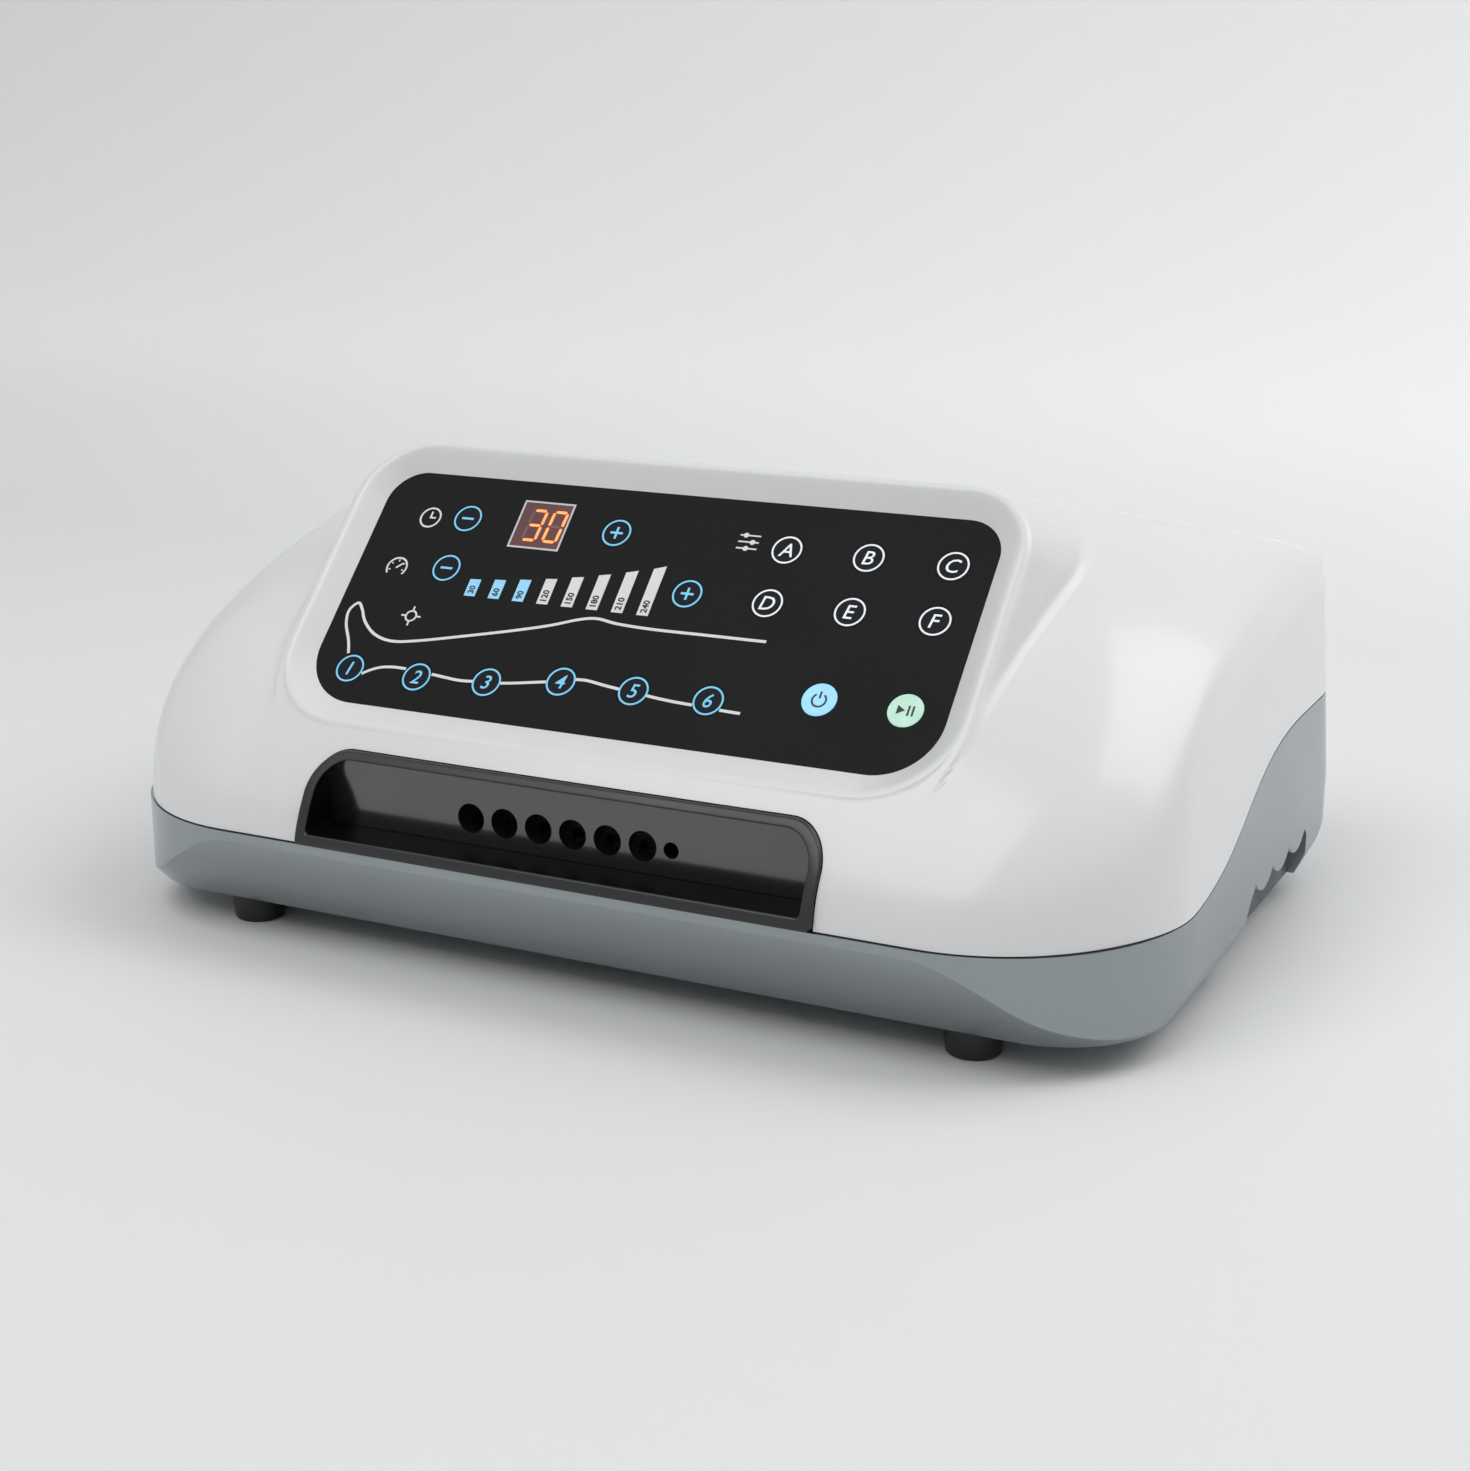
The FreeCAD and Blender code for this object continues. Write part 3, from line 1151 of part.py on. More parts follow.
def make_power():
    """The power board on its posts, with the transformer on it."""
    bottom = f"({FLOOR} + power_post_height)"
    board = centred_box("power_board_length", "power_board_width", "board_thickness",
                        "power_board_x", "power_board_y", bottom)
    holes = [upright("screw_radius + screw_gap", "board_thickness + 2", x, y, f"{bottom} - 1")
             for x, y in POWER_POSTS]
    sub_part(cut(board, *holes), "power_board")
    top = f"({bottom} + board_thickness)"
    core = centred_box("transformer_length", "transformer_stack", "transformer_height",
                       "power_board_x", "power_board_y", top)
    winding = centred_box("winding_length", "transformer_width", "winding_height",
                          "power_board_x", "power_board_y", top)
    sub_part(fuse(core, winding), "transformer")


def make_mains_inlet():
    """The two-pin mains inlet in the rear wall, its upright flange clear of the leaning wall."""
    stand_off = "((inlet_height / 2 + inlet_flange) * tan(side_draft) + inlet_flange_gap)"
    flange_face = f"({REAR_WALL} + {stand_off} + inlet_flange_thickness)"
    bottom = "inlet_z - inlet_height / 2"
    depth = f"(inlet_depth + {stand_off} + inlet_flange_thickness / 2)"
    body = centred_box("inlet_width", depth, "inlet_height", "inlet_x",
                       f"{REAR_WALL} - inlet_depth + {depth} / 2", bottom)
    flange = centred_box("inlet_width + 2 * inlet_flange", "inlet_flange_thickness",
                         "inlet_height + 2 * inlet_flange", "inlet_x",
                         f"{flange_face} - inlet_flange_thickness / 2", f"{bottom} - inlet_flange")
    mouth_start = f"{flange_face} - inlet_cavity_depth"
    mouth = [centred_box("inlet_cavity_width - inlet_cavity_height", "2 * inlet_cavity_depth",
                         "inlet_cavity_height", "inlet_x", flange_face, "inlet_z - inlet_cavity_height / 2")]
    mouth += [along_y("inlet_cavity_height / 2", "2 * inlet_cavity_depth",
                      f"inlet_x + {side} * (inlet_cavity_width - inlet_cavity_height) / 2",
                      mouth_start, "inlet_z") for side in SIDES]
    pins = [along_y("inlet_pin_radius", "inlet_pin_length + 1", f"inlet_x + {side} * inlet_pin_pitch / 2",
                    f"{mouth_start} - 1", "inlet_z") for side in SIDES]
    sub_part(fuse(cut(fuse(body, flange), fuse(*mouth)), *pins), "mains_inlet")


def check_and_export():
    """Check every object and each sub-part's shape, then write one STEP file for each sub-part."""
    doc.recompute()
    for thing in doc.Objects:
        bad = {"Invalid", "Error"} & set(thing.State)
        if bad:
            raise RuntimeError(f"{thing.Label}: {thing.State}")
    os.makedirs("parts", exist_ok=True)
    for thing in sub_parts:
        if thing.Shape.isNull() or not thing.Shape.isValid() or not thing.Shape.Solids:
            raise RuntimeError(f"{thing.Label}: bad shape")
        thing.Shape.exportStep(f"parts/{thing.Label}.step")
    print(len(sub_parts), "sub-parts written")


make_top_shell()
make_base_shell()
make_feet()
make_case_screws()
make_overlay()
make_keys()
make_display()
make_control_board()
make_board_screws()
make_port_bezel()
make_port_manifold()
make_valves()
make_valve_rail()
make_air_hoses()
make_pump_frame()
make_pump_magnets()
make_pump_armature()
make_pump_heads()
make_power()
make_mains_inlet()
check_and_export()
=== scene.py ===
"""Looks of a table-top compression pump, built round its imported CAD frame.

Lengths in the shape functions are millimetres in the frame of the part: +X right, +Y to the rear,
+Z up.  The touch panel has a frame of its own: x across, v up the slope and level outwards.
"""

import math

import bpy
import numpy as np
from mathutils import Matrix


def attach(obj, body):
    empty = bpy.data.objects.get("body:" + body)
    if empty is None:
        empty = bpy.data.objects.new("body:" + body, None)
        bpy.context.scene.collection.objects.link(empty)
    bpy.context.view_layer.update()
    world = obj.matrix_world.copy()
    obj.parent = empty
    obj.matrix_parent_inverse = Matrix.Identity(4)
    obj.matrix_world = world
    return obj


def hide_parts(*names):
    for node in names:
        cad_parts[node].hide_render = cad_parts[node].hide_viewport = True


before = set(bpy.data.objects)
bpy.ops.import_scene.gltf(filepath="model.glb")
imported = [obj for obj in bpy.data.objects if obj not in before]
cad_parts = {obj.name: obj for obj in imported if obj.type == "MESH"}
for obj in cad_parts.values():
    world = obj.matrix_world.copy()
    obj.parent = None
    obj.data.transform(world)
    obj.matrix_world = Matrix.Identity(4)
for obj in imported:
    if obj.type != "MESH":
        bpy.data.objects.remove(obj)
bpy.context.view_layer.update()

bl_info = {
    "name": "Compression pump looks",
    "version": (1, 0, 0),
    "blender": (4, 5, 0),
    "location": "View3D > Sidebar > Pump",
    "description": "Surfaces, legends and finishes of a table-top compression pump",
    "category": "Object",
}

MM = 0.001

# Plan of the case and the lean of its walls.
CASE_HALF = 142.0
CASE_DEPTH_HALF = 100.4
FRONT_CORNER = 50.0
REAR_CORNER = 30.0
DRAFT = math.radians(4.0)
SHELL_WALL = 2.6

# Seam between the two shells: an S-curve from front to rear.
SEAM_LOW = 30.7
SEAM_HIGH = 53.0
SEAM_POLES = (-60.0, -6.0, -6.0, 48.0)
SEAM_HALF_GAP = 0.175

# Dome.  Each span is the place across where a change starts and the width that it takes.
DOME_TOP = 113.9
DOME_SIDE = 62.0
DOME_HALF = 143.4
DOME_POWER = 2.96
DOME_OVERHANG = 0.5
CORNER_SPAN = (96.0, 56.4)
CORNER_RETREAT = 88.1
FASCIA_POWER = 1.448
SIDE_POWER = 0.867
SIDE_POWER_SPAN = (85.0, 57.0)
FASCIA_RUN = 113.3
SIDE_RUN = 52.6
SIDE_RUN_SPAN = (80.0, 60.0)
ROOF_HEIGHT = 120.8
ROOF_START = -24.2
ROOF_SLOPE = math.radians(15.6)

# Panel, its black plate and the raised rim round it.
PANEL_TILT = math.radians(45.85)
PANEL_Y = -35.6
PANEL_Z = 101.5
PLATE_HALF = 86.1
PLATE_LOW = -57.2
PLATE_HIGH = 13.2
PLATE_CORNER = 10.0
PLATE_LOW_CORNER = 15.5
RIM_HEIGHT = 3.9
RIM_SLOPE_SIDE = 5.6
RIM_SLOPE_END = 6.0
RIM_CREST = 1.2
RIM_ROUND = 8.0
RIM_BACK = 0.645
FLANK_RUN = 11.0
FLANK_DROP = 45.0
FLANK_POWER = 0.56

# Reach of the roundings where the surfaces of the upper case meet.
WALL_BLEND = 3.0
CREST_BLEND = 1.0
RIM_BLEND = 2.6
ROOF_BLEND = 1.6
ROOF_BLEND_GROWTH = 5.4
SLOPE_BLEND = 0.8

# Grid of the upper case: points of its loops, rows of loops and the lip behind the seam.
LOOP_COUNTS = {"front": 112, "corner": 44, "side": 60, "rear": 48}
CREST_ROWS = 14
CREST_GROWTH = (0.35, 3.2)
OUTER_ROWS = 176
OUTER_SPREAD = 1.35
TURN_POWER = 0.8
REAR_TURN_POWER = 0.9
RIM_REACH = 12.0
WALL_REACH = 64.0
LIP_IN = 0.5
LIP_UP = 4.0

# Hose socket: its black frame and the opening for it in the upper case.  The opening's skin is the
# depth of the case's front there and how far from it a point still belongs to it.
BEZEL_HALF = 69.5
BEZEL_LOW = 30.95
BEZEL_HIGH = 52.9
BEZEL_CORNER = 10.0
BEZEL_LOW_CORNER = 1.0
BEZEL_PROUD = 1.0
BEZEL_FIT = 0.2
BEZEL_SIDE = 2.8
BEZEL_TOP = 2.0
BEZEL_SOFT = 0.45
BEZEL_BACK = 14.0
BEZEL_STEP = 3.0
BEZEL_INNER_BACK = 11.6
BEZEL_COUNTS = {"front": 90, "corner": 20, "side": 12, "rear": 90}
OPENING_DROP = 20.0
OPENING_REAR = -40.0
OPENING_SKIN = (-98.0, 12.0)

# Feet.
FOOT_RADIUS = 6.5
FOOT_TOP_RADIUS = 7.3
FOOT_HEIGHT = 8.8
FOOT_TREAD = 0.9
FOOT_DISH = 0.35
FOOT_DISH_RADIUS = 2.6
FOOT_DISH_EDGE = 3.0
FOOT_SHOULDER = 0.3
FOOT_NECK = 0.05
AXIS_RADIUS = 0.01
FEET = {"front": (99.9, -78.0), "rear": (124.0, 56.0)}

# Toothed side recesses, and the outline of the dark plates of painted shade at their backs.
RECESS_FLOOR = 137.4
RECESS_FACES = (-0.05, 0.1)
RECESS_START = 3.0
RECESS_PITCH = 16.4
RECESS_LOBES = 3
RECESS_CROWN = 21.0
RECESS_SAG = 17.4
RECESS_FRONT = ((-7.1, 7.7), (-7.1, 11.4), (-1.85, 17.4))
RECESS_REAR = ((54.8, 19.1), (54.8, 7.7))

# Keys, as x and v on the panel, and how prints lie on it.
MINUS_X = -59.3
TIME_ROW = 0.2
TIME_PLUS_X = -15.1
PRESSURE_ROW = -15.2
PRESSURE_PLUS_X = 10.5
KEY_COLUMNS = (32.3, 53.9, 75.5)
MODE_ROWS = (0.0, -15.4)
RUN_ROW = -39.6
ZONE_LEFT = -74.5
ZONE_PITCH = 20.18
ZONE_ROWS = (-47.5, -47.5, -46.4, -43.6, -43.6, -43.6)
PRINT_SINK = 0.02
SECOND_PRINT = 0.03
BOLD_FIGURE = 0.004

# Pictograms.
CLOCK_AT = (-70.5, -0.6)
GAUGE_AT = (-74.0, -16.6)
SLIDERS_AT = (21.5, 1.2)
TARGET_AT = (-63.5, -30.4)
PICTOGRAM_RADIUS = 2.9
PICTOGRAM_LINE = 0.5

# Pressure scale: eight bars whose tops lie on a parabola.
BAR_COUNT = 8
BARS_LIT = 3
BAR_STEP = 30
BAR_LEFT = -50.9
BAR_PITCH = 7.14
BAR_WIDTH = 3.2
BAR_FOOT = -22.7
BAR_FOOT_RISE = 0.05
BAR_TOP = (-17.7, 0.486, 0.1046)
BAR_SLANT = (0.13, 0.02)
BAR_FIGURE = 1.85
BAR_FIGURE_START = -22.0
BAR_FIGURE_WIDTH = 1.25
BAR_FIGURE_BOLD = 0.03

# Contour of a leg, with gaps in the sole where the zone keys lie.
LEG_UPPER = (
    (-76.9, -43.3), (-78.6, -39.6), (-81.4, -35.0), (-82.4, -31.0), (-80.6, -28.4),
    (-78.6, -30.2), (-76.2, -33.6), (-71.8, -36.9), (-66.0, -38.3), (-58.5, -37.3),
    (-46.0, -34.4), (-33.0, -31.2), (-23.0, -28.4), (-16.0, -25.9), (-11.0, -25.0),
    (-5.0, -25.8), (5.0, -26.2), (20.0, -26.1), (35.6, -26.0))
LEG_LOWER = (
    ((-70.4, -48.6), (-68.2, -47.2), (-65.5, -46.1), (-62.0, -45.6), (-58.3, -45.6)),
    ((-50.3, -46.2), (-46.0, -46.6), (-42.0, -46.9), (-38.1, -46.7)),
    ((-30.2, -46.2), (-26.0, -45.6), (-22.0, -44.9), (-17.9, -44.2)),
    ((-10.2, -42.5), (-7.0, -42.4), (-2.0, -43.1), (2.3, -43.6)),
    ((10.1, -44.4), (14.0, -44.8), (18.0, -45.1), (22.7, -45.3)),
    ((30.1, -45.7), (32.0, -45.8), (35.6, -45.9)))

# Display: a pale frame round two seven-segment digits.
DISPLAY_X = -37.0
DISPLAY_V = 0.15
DISPLAY_WIDTH = 15.0
DISPLAY_HEIGHT = 14.4
DISPLAY_LINE = 0.5
DISPLAY_LIFT = 0.1
DIGIT_LEFT = -3.95
DIGIT_FOOT = -4.55
DIGIT_PITCH = 6.05
DIGIT_SIZE = (3.8, 4.5)
DIGIT_SLANT = 0.05
SEGMENT_HALF = 0.37
SEGMENT_GAP = 0.22
SEGMENT_POINT = 0.42
SEGMENTS = {
    "top": ((0, 2), (1, 2)), "middle": ((0, 1), (1, 1)), "bottom": ((0, 0), (1, 0)),
    "left_low": ((0, 0), (0, 1)), "left_high": ((0, 1), (0, 2)),
    "right_low": ((1, 0), (1, 1)), "right_high": ((1, 1), (1, 2)),
}
LIT_SEGMENTS = ({"top", "middle", "bottom", "right_low", "right_high"},
                {"top", "bottom", "left_low", "left_high", "right_low", "right_high"})

# Stage: floor in millimetres; the backdrop's fade, the lamps' places and widths and the camera's
# place in metres.
FLOOR_HALF = 3000.0
FLOOR_FRONT = -2500.0
FLOOR_REAR = 900.0
BACKDROP_RADIUS = 400.0
BACKDROP_TOP = 2500.0
BACKDROP_FADE = (0.35, 1.0)
KEY_LAMP = ((0.9, 0.55, 1.3), 1.2)
FILL_LAMP = ((-0.35, -0.9, 1.5), 1.1)
LAMP_TARGET = (0.0, 0.0, 0.06)
CAMERA_PLACE = (0.2731, -0.5424, 0.2123)
CAMERA_TURN = (math.radians(74.32), 0, math.radians(26.70))
CAMERA_LENS = 57.58
CAMERA_SENSOR = 36.0


# ---- properties ----

def colour(name, description, default):
    """A colour that a user may change."""
    return bpy.props.FloatVectorProperty(name=name, description=description, subtype="COLOR",
                                         size=4, min=0.0, max=1.0, default=(*default, 1.0))


def length(name, description, default):
    """A length in metres that a user may change."""
    return bpy.props.FloatProperty(name=name, description=description, default=default,
                                   min=0.0, unit="LENGTH")


def amount(name, description, default, unit="NONE"):
    """An amount of light that a user may change."""
    return bpy.props.FloatProperty(name=name, description=description, default=default,
                                   min=0.0, unit=unit)


class PumpColours(bpy.types.PropertyGroup):
    """Colours of the finishes."""
    shell: colour("Shell", "Upper case", (0.865, 0.875, 0.88))
    base: colour("Base", "Lower case", (0.335, 0.368, 0.378))
    rubber: colour("Rubber", "Feet", (0.016, 0.016, 0.017))
    panel: colour("Panel", "Touch panel", (0.0060, 0.0062, 0.0064))
    socket: colour("Socket", "Frame and block of the hose socket", (0.0075, 0.0085, 0.0095))
    print_white: colour("Print", "Printed signs", (0.90, 0.91, 0.91))
    glow_blue: colour("Blue light", "Lit setting keys", (0.30, 0.66, 0.95))
    glow_white: colour("White light", "Lit mode keys", (0.88, 0.90, 0.92))
    glow_green: colour("Green light", "Lit start key", (0.52, 0.80, 0.66))
    digit: colour("Digits", "Lit display segments", (1.0, 0.20, 0.05))


class PumpSizes(bpy.types.PropertyGroup):
    """Sizes of the signs."""
    ring_radius: length("Ring radius", "Outer radius of the ring round a key's sign", 0.00393)
    ring_line: length("Ring line", "Width of the ring round a key's sign", 0.00046)
    sign_height: length("Sign height", "Height of a figure on a key", 0.0038)
    leg_line: length("Contour line", "Width of the printed leg contour", 0.00078)
    print_level: length("Print level", "How far the print stands off the panel", 0.00005)


class PumpStage(bpy.types.PropertyGroup):
    """Floor and light."""
    floor: colour("Floor", "Table top and backdrop", (0.875, 0.885, 0.895))
    backdrop_glow: amount("Backdrop glow", "Light that the backdrop adds where it is seen", 0.17)
    key_power: amount("Key lamp", "Power of the large soft lamp", 9.4, "POWER")
    fill_power: amount("Fill lamp", "Power of the front lamp", 7.8, "POWER")
    sky_low: amount("Low sky", "Strength of the light near the horizon", 0.0)
    sky_high: amount("High sky", "Strength of the light from above", 0.57)
    background: amount("Background", "Brightness of the sky as it is seen", 0.7)


# ---- meshes from grids ----

def grid_faces(rows, columns, wrap=False, flip=False):
    """Quads between neighbours of a grid; wrap joins the last column to the first."""
    row = np.arange(rows - 1)[:, None] * columns
    column = np.arange(columns if wrap else columns - 1)[None, :]
    after = (column + 1) % columns
    quads = np.stack([row + column, row + after, row + columns + after, row + columns + column], -1)
    quads = quads.reshape(-1, 4)
    return quads[:, ::-1] if flip else quads


def prism_faces(count):
    """Faces of a prism between two outlines of count corners: the sides, then both ends."""
    index = np.arange(count)
    after = (index + 1) % count
    sides = np.stack([index, after, after + count, index + count], -1)
    return sides.tolist() + [index[::-1].tolist(), (index + count).tolist()]


def add_mesh(name, points, faces, material, sharp=40.0):
    """A mesh object at the origin from points in millimetres and lists of corners."""
    mesh = bpy.data.meshes.new(name)
    mesh.from_pydata((np.asarray(points, float).reshape(-1, 3) * MM).tolist(), [],
                     [list(face) for face in faces])
    mesh.validate()
    mesh.polygons.foreach_set("use_smooth", np.ones(len(mesh.polygons), bool))
    mesh.set_sharp_from_angle(angle=math.radians(sharp))
    mesh.update()
    piece = bpy.data.objects.new(name, mesh)
    bpy.context.scene.collection.objects.link(piece)
    mesh.materials.append(material)
    return piece


def set_piece(piece, body, replaced=None):
    """The piece rides on its body and may stand for a CAD node, which it hides."""
    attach(piece, body)
    if replaced:
        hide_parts(replaced)


def joined(parts):
    """One list of points and faces from several (points, faces) pairs."""
    points, faces, start = [], [], 0
    for some_points, some_faces in parts:
        some_points = np.asarray(some_points, float).reshape(-1, 3)
        points.append(some_points)
        faces.extend([[corner + start for corner in face] for face in some_faces])
        start += len(some_points)
    return np.concatenate(points), faces


def on_panel(x, v, level):
    """Points of the panel's frame in the frame of the part."""
    x, v, level = np.broadcast_arrays(np.asarray(x, float), v, level)
    return np.stack([x, PANEL_Y + v * math.cos(PANEL_TILT) - level * math.sin(PANEL_TILT),
                     PANEL_Z + v * math.sin(PANEL_TILT) + level * math.cos(PANEL_TILT)], -1)


def from_panel(p):
    """x, v and level of points of the part."""
    y = p[..., 1] - PANEL_Y
    z = p[..., 2] - PANEL_Z
    return (p[..., 0], y * math.cos(PANEL_TILT) + z * math.sin(PANEL_TILT),
            z * math.cos(PANEL_TILT) - y * math.sin(PANEL_TILT))


# ---- fields of the case: negative inside, in millimetres near the surface ----

def part_way(value, start, span):
    """How far a value is through a span, held at zero before it and at one after it."""
    return np.clip((value - start) / span, 0, 1)


def round_box(x, y, half, low, high, low_radius, high_radius):
    """Distance to a rectangle with round corners, whose radius differs at its two ends."""
    middle = (low + high) / 2
    radius = np.where(y < middle, low_radius, high_radius)
    across = np.abs(x) - half + radius
    along = np.abs(y - middle) - (high - low) / 2 + radius
    outside = np.hypot(np.maximum(across, 0), np.maximum(along, 0))
    return outside + np.minimum(np.maximum(across, along), 0) - radius


def larger(a, b, reach):
    """The larger of two fields, rounded where they meet: the excess is a parabola within reach."""
    near = np.maximum(reach - np.abs(a - b), 0) / reach
    return np.maximum(a, b) + near * near * reach / 4


def smaller(a, b, reach):
    """The smaller of two fields, with the inner corner filled within reach."""
    return -larger(-a, -b, reach)


def with_slope(field, p, step):
    """A field and its slope along the three axes, found from three small steps."""
    here = field(p)
    return here, np.stack([(field(p + step * axis) - here) / step for axis in np.eye(3)], -1)


def as_distance(field, p):
    """A field over the length of its own slope."""
    here, slope = with_slope(field, p, 0.05)
    return here / np.sqrt(np.maximum((slope ** 2).sum(-1), 1e-7))


def wall_field(p):
    """Upright walls: the plan outline, leaning inwards above the front seam."""
    lean = np.maximum(p[..., 2] - SEAM_LOW, 0) * math.tan(DRAFT)
    return (round_box(p[..., 0], p[..., 1], CASE_HALF, -CASE_DEPTH_HALF, CASE_DEPTH_HALF,
                      FRONT_CORNER, REAR_CORNER) + lean) * math.cos(DRAFT)


def dome_field(p):
    """The dome: lengthwise superellipses whose height, run and exponent change across the case."""
    x, y, z = np.abs(p[..., 0]), p[..., 1], p[..., 2]
    crest = DOME_SIDE + (DOME_TOP - DOME_SIDE) * (
        1 - np.minimum(x / DOME_HALF, 0.99999) ** DOME_POWER) ** (1 / DOME_POWER)
    retreat = CORNER_RETREAT * (1 - np.sqrt(1 - part_way(x, *CORNER_SPAN) ** 2))
    front = -CASE_DEPTH_HALF - DOME_OVERHANG + retreat
    power = FASCIA_POWER + SIDE_POWER * part_way(x, *SIDE_POWER_SPAN) ** 2
    middle = -CASE_DEPTH_HALF + FASCIA_RUN + SIDE_RUN * part_way(x, *SIDE_RUN_SPAN) ** 2
    along = np.maximum(middle - y, 0) / (middle - front)
    up = np.maximum(z - SEAM_LOW, 0) / (crest - SEAM_LOW)
    return (along ** power + up ** power + 1e-12) ** (1 / power) - 1


def flank_field(p):
    """The outside of the rim: its outline grows with the drop below the crest."""
    x, v, level = from_panel(p)
    drop = np.clip(RIM_HEIGHT - level, 0, FLANK_DROP)
    run = FLANK_RUN * (drop / FLANK_DROP) ** FLANK_POWER
    side = RIM_SLOPE_SIDE + RIM_CREST + run
    end = RIM_SLOPE_END + RIM_CREST
    return round_box(x, v, PLATE_HALF + side, PLATE_LOW - end - run,
                     PLATE_HIGH + end + RIM_BACK * drop,
                     PLATE_LOW_CORNER + RIM_ROUND + run, PLATE_CORNER + RIM_ROUND + run)


def slope_field(p):
    """The inside of the rim: a recess that widens from the plate's edge to the crest."""
    x, v, level = from_panel(p)
    share = level / RIM_HEIGHT
    rounding = (RIM_ROUND - RIM_CREST) * share
    edge = round_box(x, v, PLATE_HALF + RIM_SLOPE_SIDE * share, PLATE_LOW - RIM_SLOPE_END * share,
                     PLATE_HIGH + RIM_SLOPE_END * share,
                     PLATE_LOW_CORNER + rounding, PLATE_CORNER + rounding)
    return -edge / math.hypot(1, RIM_SLOPE_SIDE / RIM_HEIGHT)


def top_field(p):
    """The upper case: dome within walls, joined with the rim, under the roof, less the recess.

    The roof's edge is crisp at the rim and grows rounder to the rear.
    """
    _, _, level = from_panel(p)
    softness = part_way(p[..., 1], ROOF_START, CASE_DEPTH_HALF - ROOF_START)
    fall = math.tan(ROOF_SLOPE) * (p[..., 1] - ROOF_START)
    roof = (p[..., 2] - ROOF_HEIGHT + fall) * math.cos(ROOF_SLOPE)
    rim = larger(as_distance(flank_field, p), level - RIM_HEIGHT, CREST_BLEND)
    body = larger(as_distance(dome_field, p), wall_field(p), WALL_BLEND)
    body = smaller(body, rim, RIM_BLEND)
    body = larger(body, roof, ROOF_BLEND + ROOF_BLEND_GROWTH * softness)
    return larger(body, slope_field(p), SLOPE_BLEND)


def solve(field, base, direction, reach, halvings=16):
    """Where rays cross a field's surface: bisection within reach, then one secant step."""
    low = np.full(base.shape[:-1], -reach, float)
    high = np.full(base.shape[:-1], reach, float)
    for _ in range(halvings):
        middle = (low + high) / 2
        inside = field(base + middle[..., None] * direction) < 0
        low = np.where(inside, middle, low)
        high = np.where(inside, high, middle)
    at_low = field(base + low[..., None] * direction)
    at_high = field(base + high[..., None] * direction)
    rise = at_high - at_low
    share = np.clip(-at_low / np.where(np.abs(rise) > 1e-12, rise, 1), 0, 1)
    return base + (low + share * (high - low))[..., None] * direction


def seam_height(y):
    """The height of the seam's middle: an S-curve in depth, level at both ends."""
    t = np.linspace(0, 1, 400)
    weights = ((1 - t) ** 3, 3 * t * (1 - t) ** 2, 3 * t * t * (1 - t), t ** 3)
    along = sum(pole * weight for pole, weight in zip(SEAM_POLES, weights))
    return np.interp(y, along, SEAM_LOW + (SEAM_HIGH - SEAM_LOW) * (3 * t * t - 2 * t ** 3))


def loop(half, low, high, low_radius, high_radius, counts):
    """A round-cornered outline as points and outward normals.

    It runs counter-clockwise from the front left.  The four straights and four quarter arcs get
    fixed numbers of points, so that outlines of different sizes match point by point.
    """
    half, low, high, low_radius, high_radius = (
        np.asarray(value, float)[..., None] for value in (half, low, high, low_radius, high_radius))
    edges, radii = {-1: low, 1: high}, {-1: low_radius, 1: high_radius}
    turn = np.linspace(0, 1, counts["corner"], endpoint=False)
    runs = (("front", (-1, -1), (1, -1)), ("side", (1, -1), (1, 1)),
            ("rear", (1, 1), (-1, 1)), ("side", (-1, 1), (-1, -1)))
    xs, ys, angles = [], [], []
    for index, (kind, start, end) in enumerate(runs):
        across = kind != "side"
        ends = [(x * (half - across * radii[y]), edges[y] - (not across) * y * radii[y])
                for x, y in (start, end)]
        share = np.linspace(0, 1, counts[kind], endpoint=False)
        facing = -math.pi / 2 + index * math.pi / 2
        xs.append(ends[0][0] + (ends[1][0] - ends[0][0]) * share)
        ys.append(ends[0][1] + (ends[1][1] - ends[0][1]) * share)
        angles.append(np.broadcast_to(facing, xs[-1].shape))
        x, y = end
        angle = facing + turn * math.pi / 2
        xs.append(x * (half - radii[y]) + radii[y] * np.cos(angle))
        ys.append(edges[y] - y * radii[y] + radii[y] * np.sin(angle))
        angles.append(np.broadcast_to(angle, xs[-1].shape))
    angle = np.concatenate(angles, -1)
    return (np.stack([np.concatenate(xs, -1), np.concatenate(ys, -1)], -1),
            np.stack([np.cos(angle), np.sin(angle)], -1))


def rim_rows():
    """Loops from the plate's edge over the crest of the rim, moved square to the panel.

    Share is the way up the recess's slope, and growth is the way outwards past the crest.
    """
    share = np.concatenate([[-0.12, -0.03], np.linspace(0.03, 0.9, 7), np.linspace(0.95, 1.05, 4)])
    growth = np.concatenate([np.zeros_like(share), np.linspace(*CREST_GROWTH, CREST_ROWS)])
    share = np.concatenate([share, np.ones(CREST_ROWS)])
    rounding = (RIM_ROUND - RIM_CREST) * share + growth
    rows, _ = loop(PLATE_HALF + RIM_SLOPE_SIDE * share + growth,
                   PLATE_LOW - RIM_SLOPE_END * share - growth,
                   PLATE_HIGH + RIM_SLOPE_END * share + growth,
                   PLATE_LOW_CORNER + rounding, PLATE_CORNER + rounding, LOOP_COUNTS)
    level = np.minimum(share, 1) * RIM_HEIGHT - np.maximum(growth - RIM_CREST, 0)
    rows = on_panel(rows[..., 0], rows[..., 1], level[:, None])
    return solve(top_field, rows, np.broadcast_to(panel_normal(), rows.shape), RIM_REACH)


def panel_normal():
    """The panel's outward direction."""
    return on_panel(0, 0, 1) - on_panel(0, 0, 0)


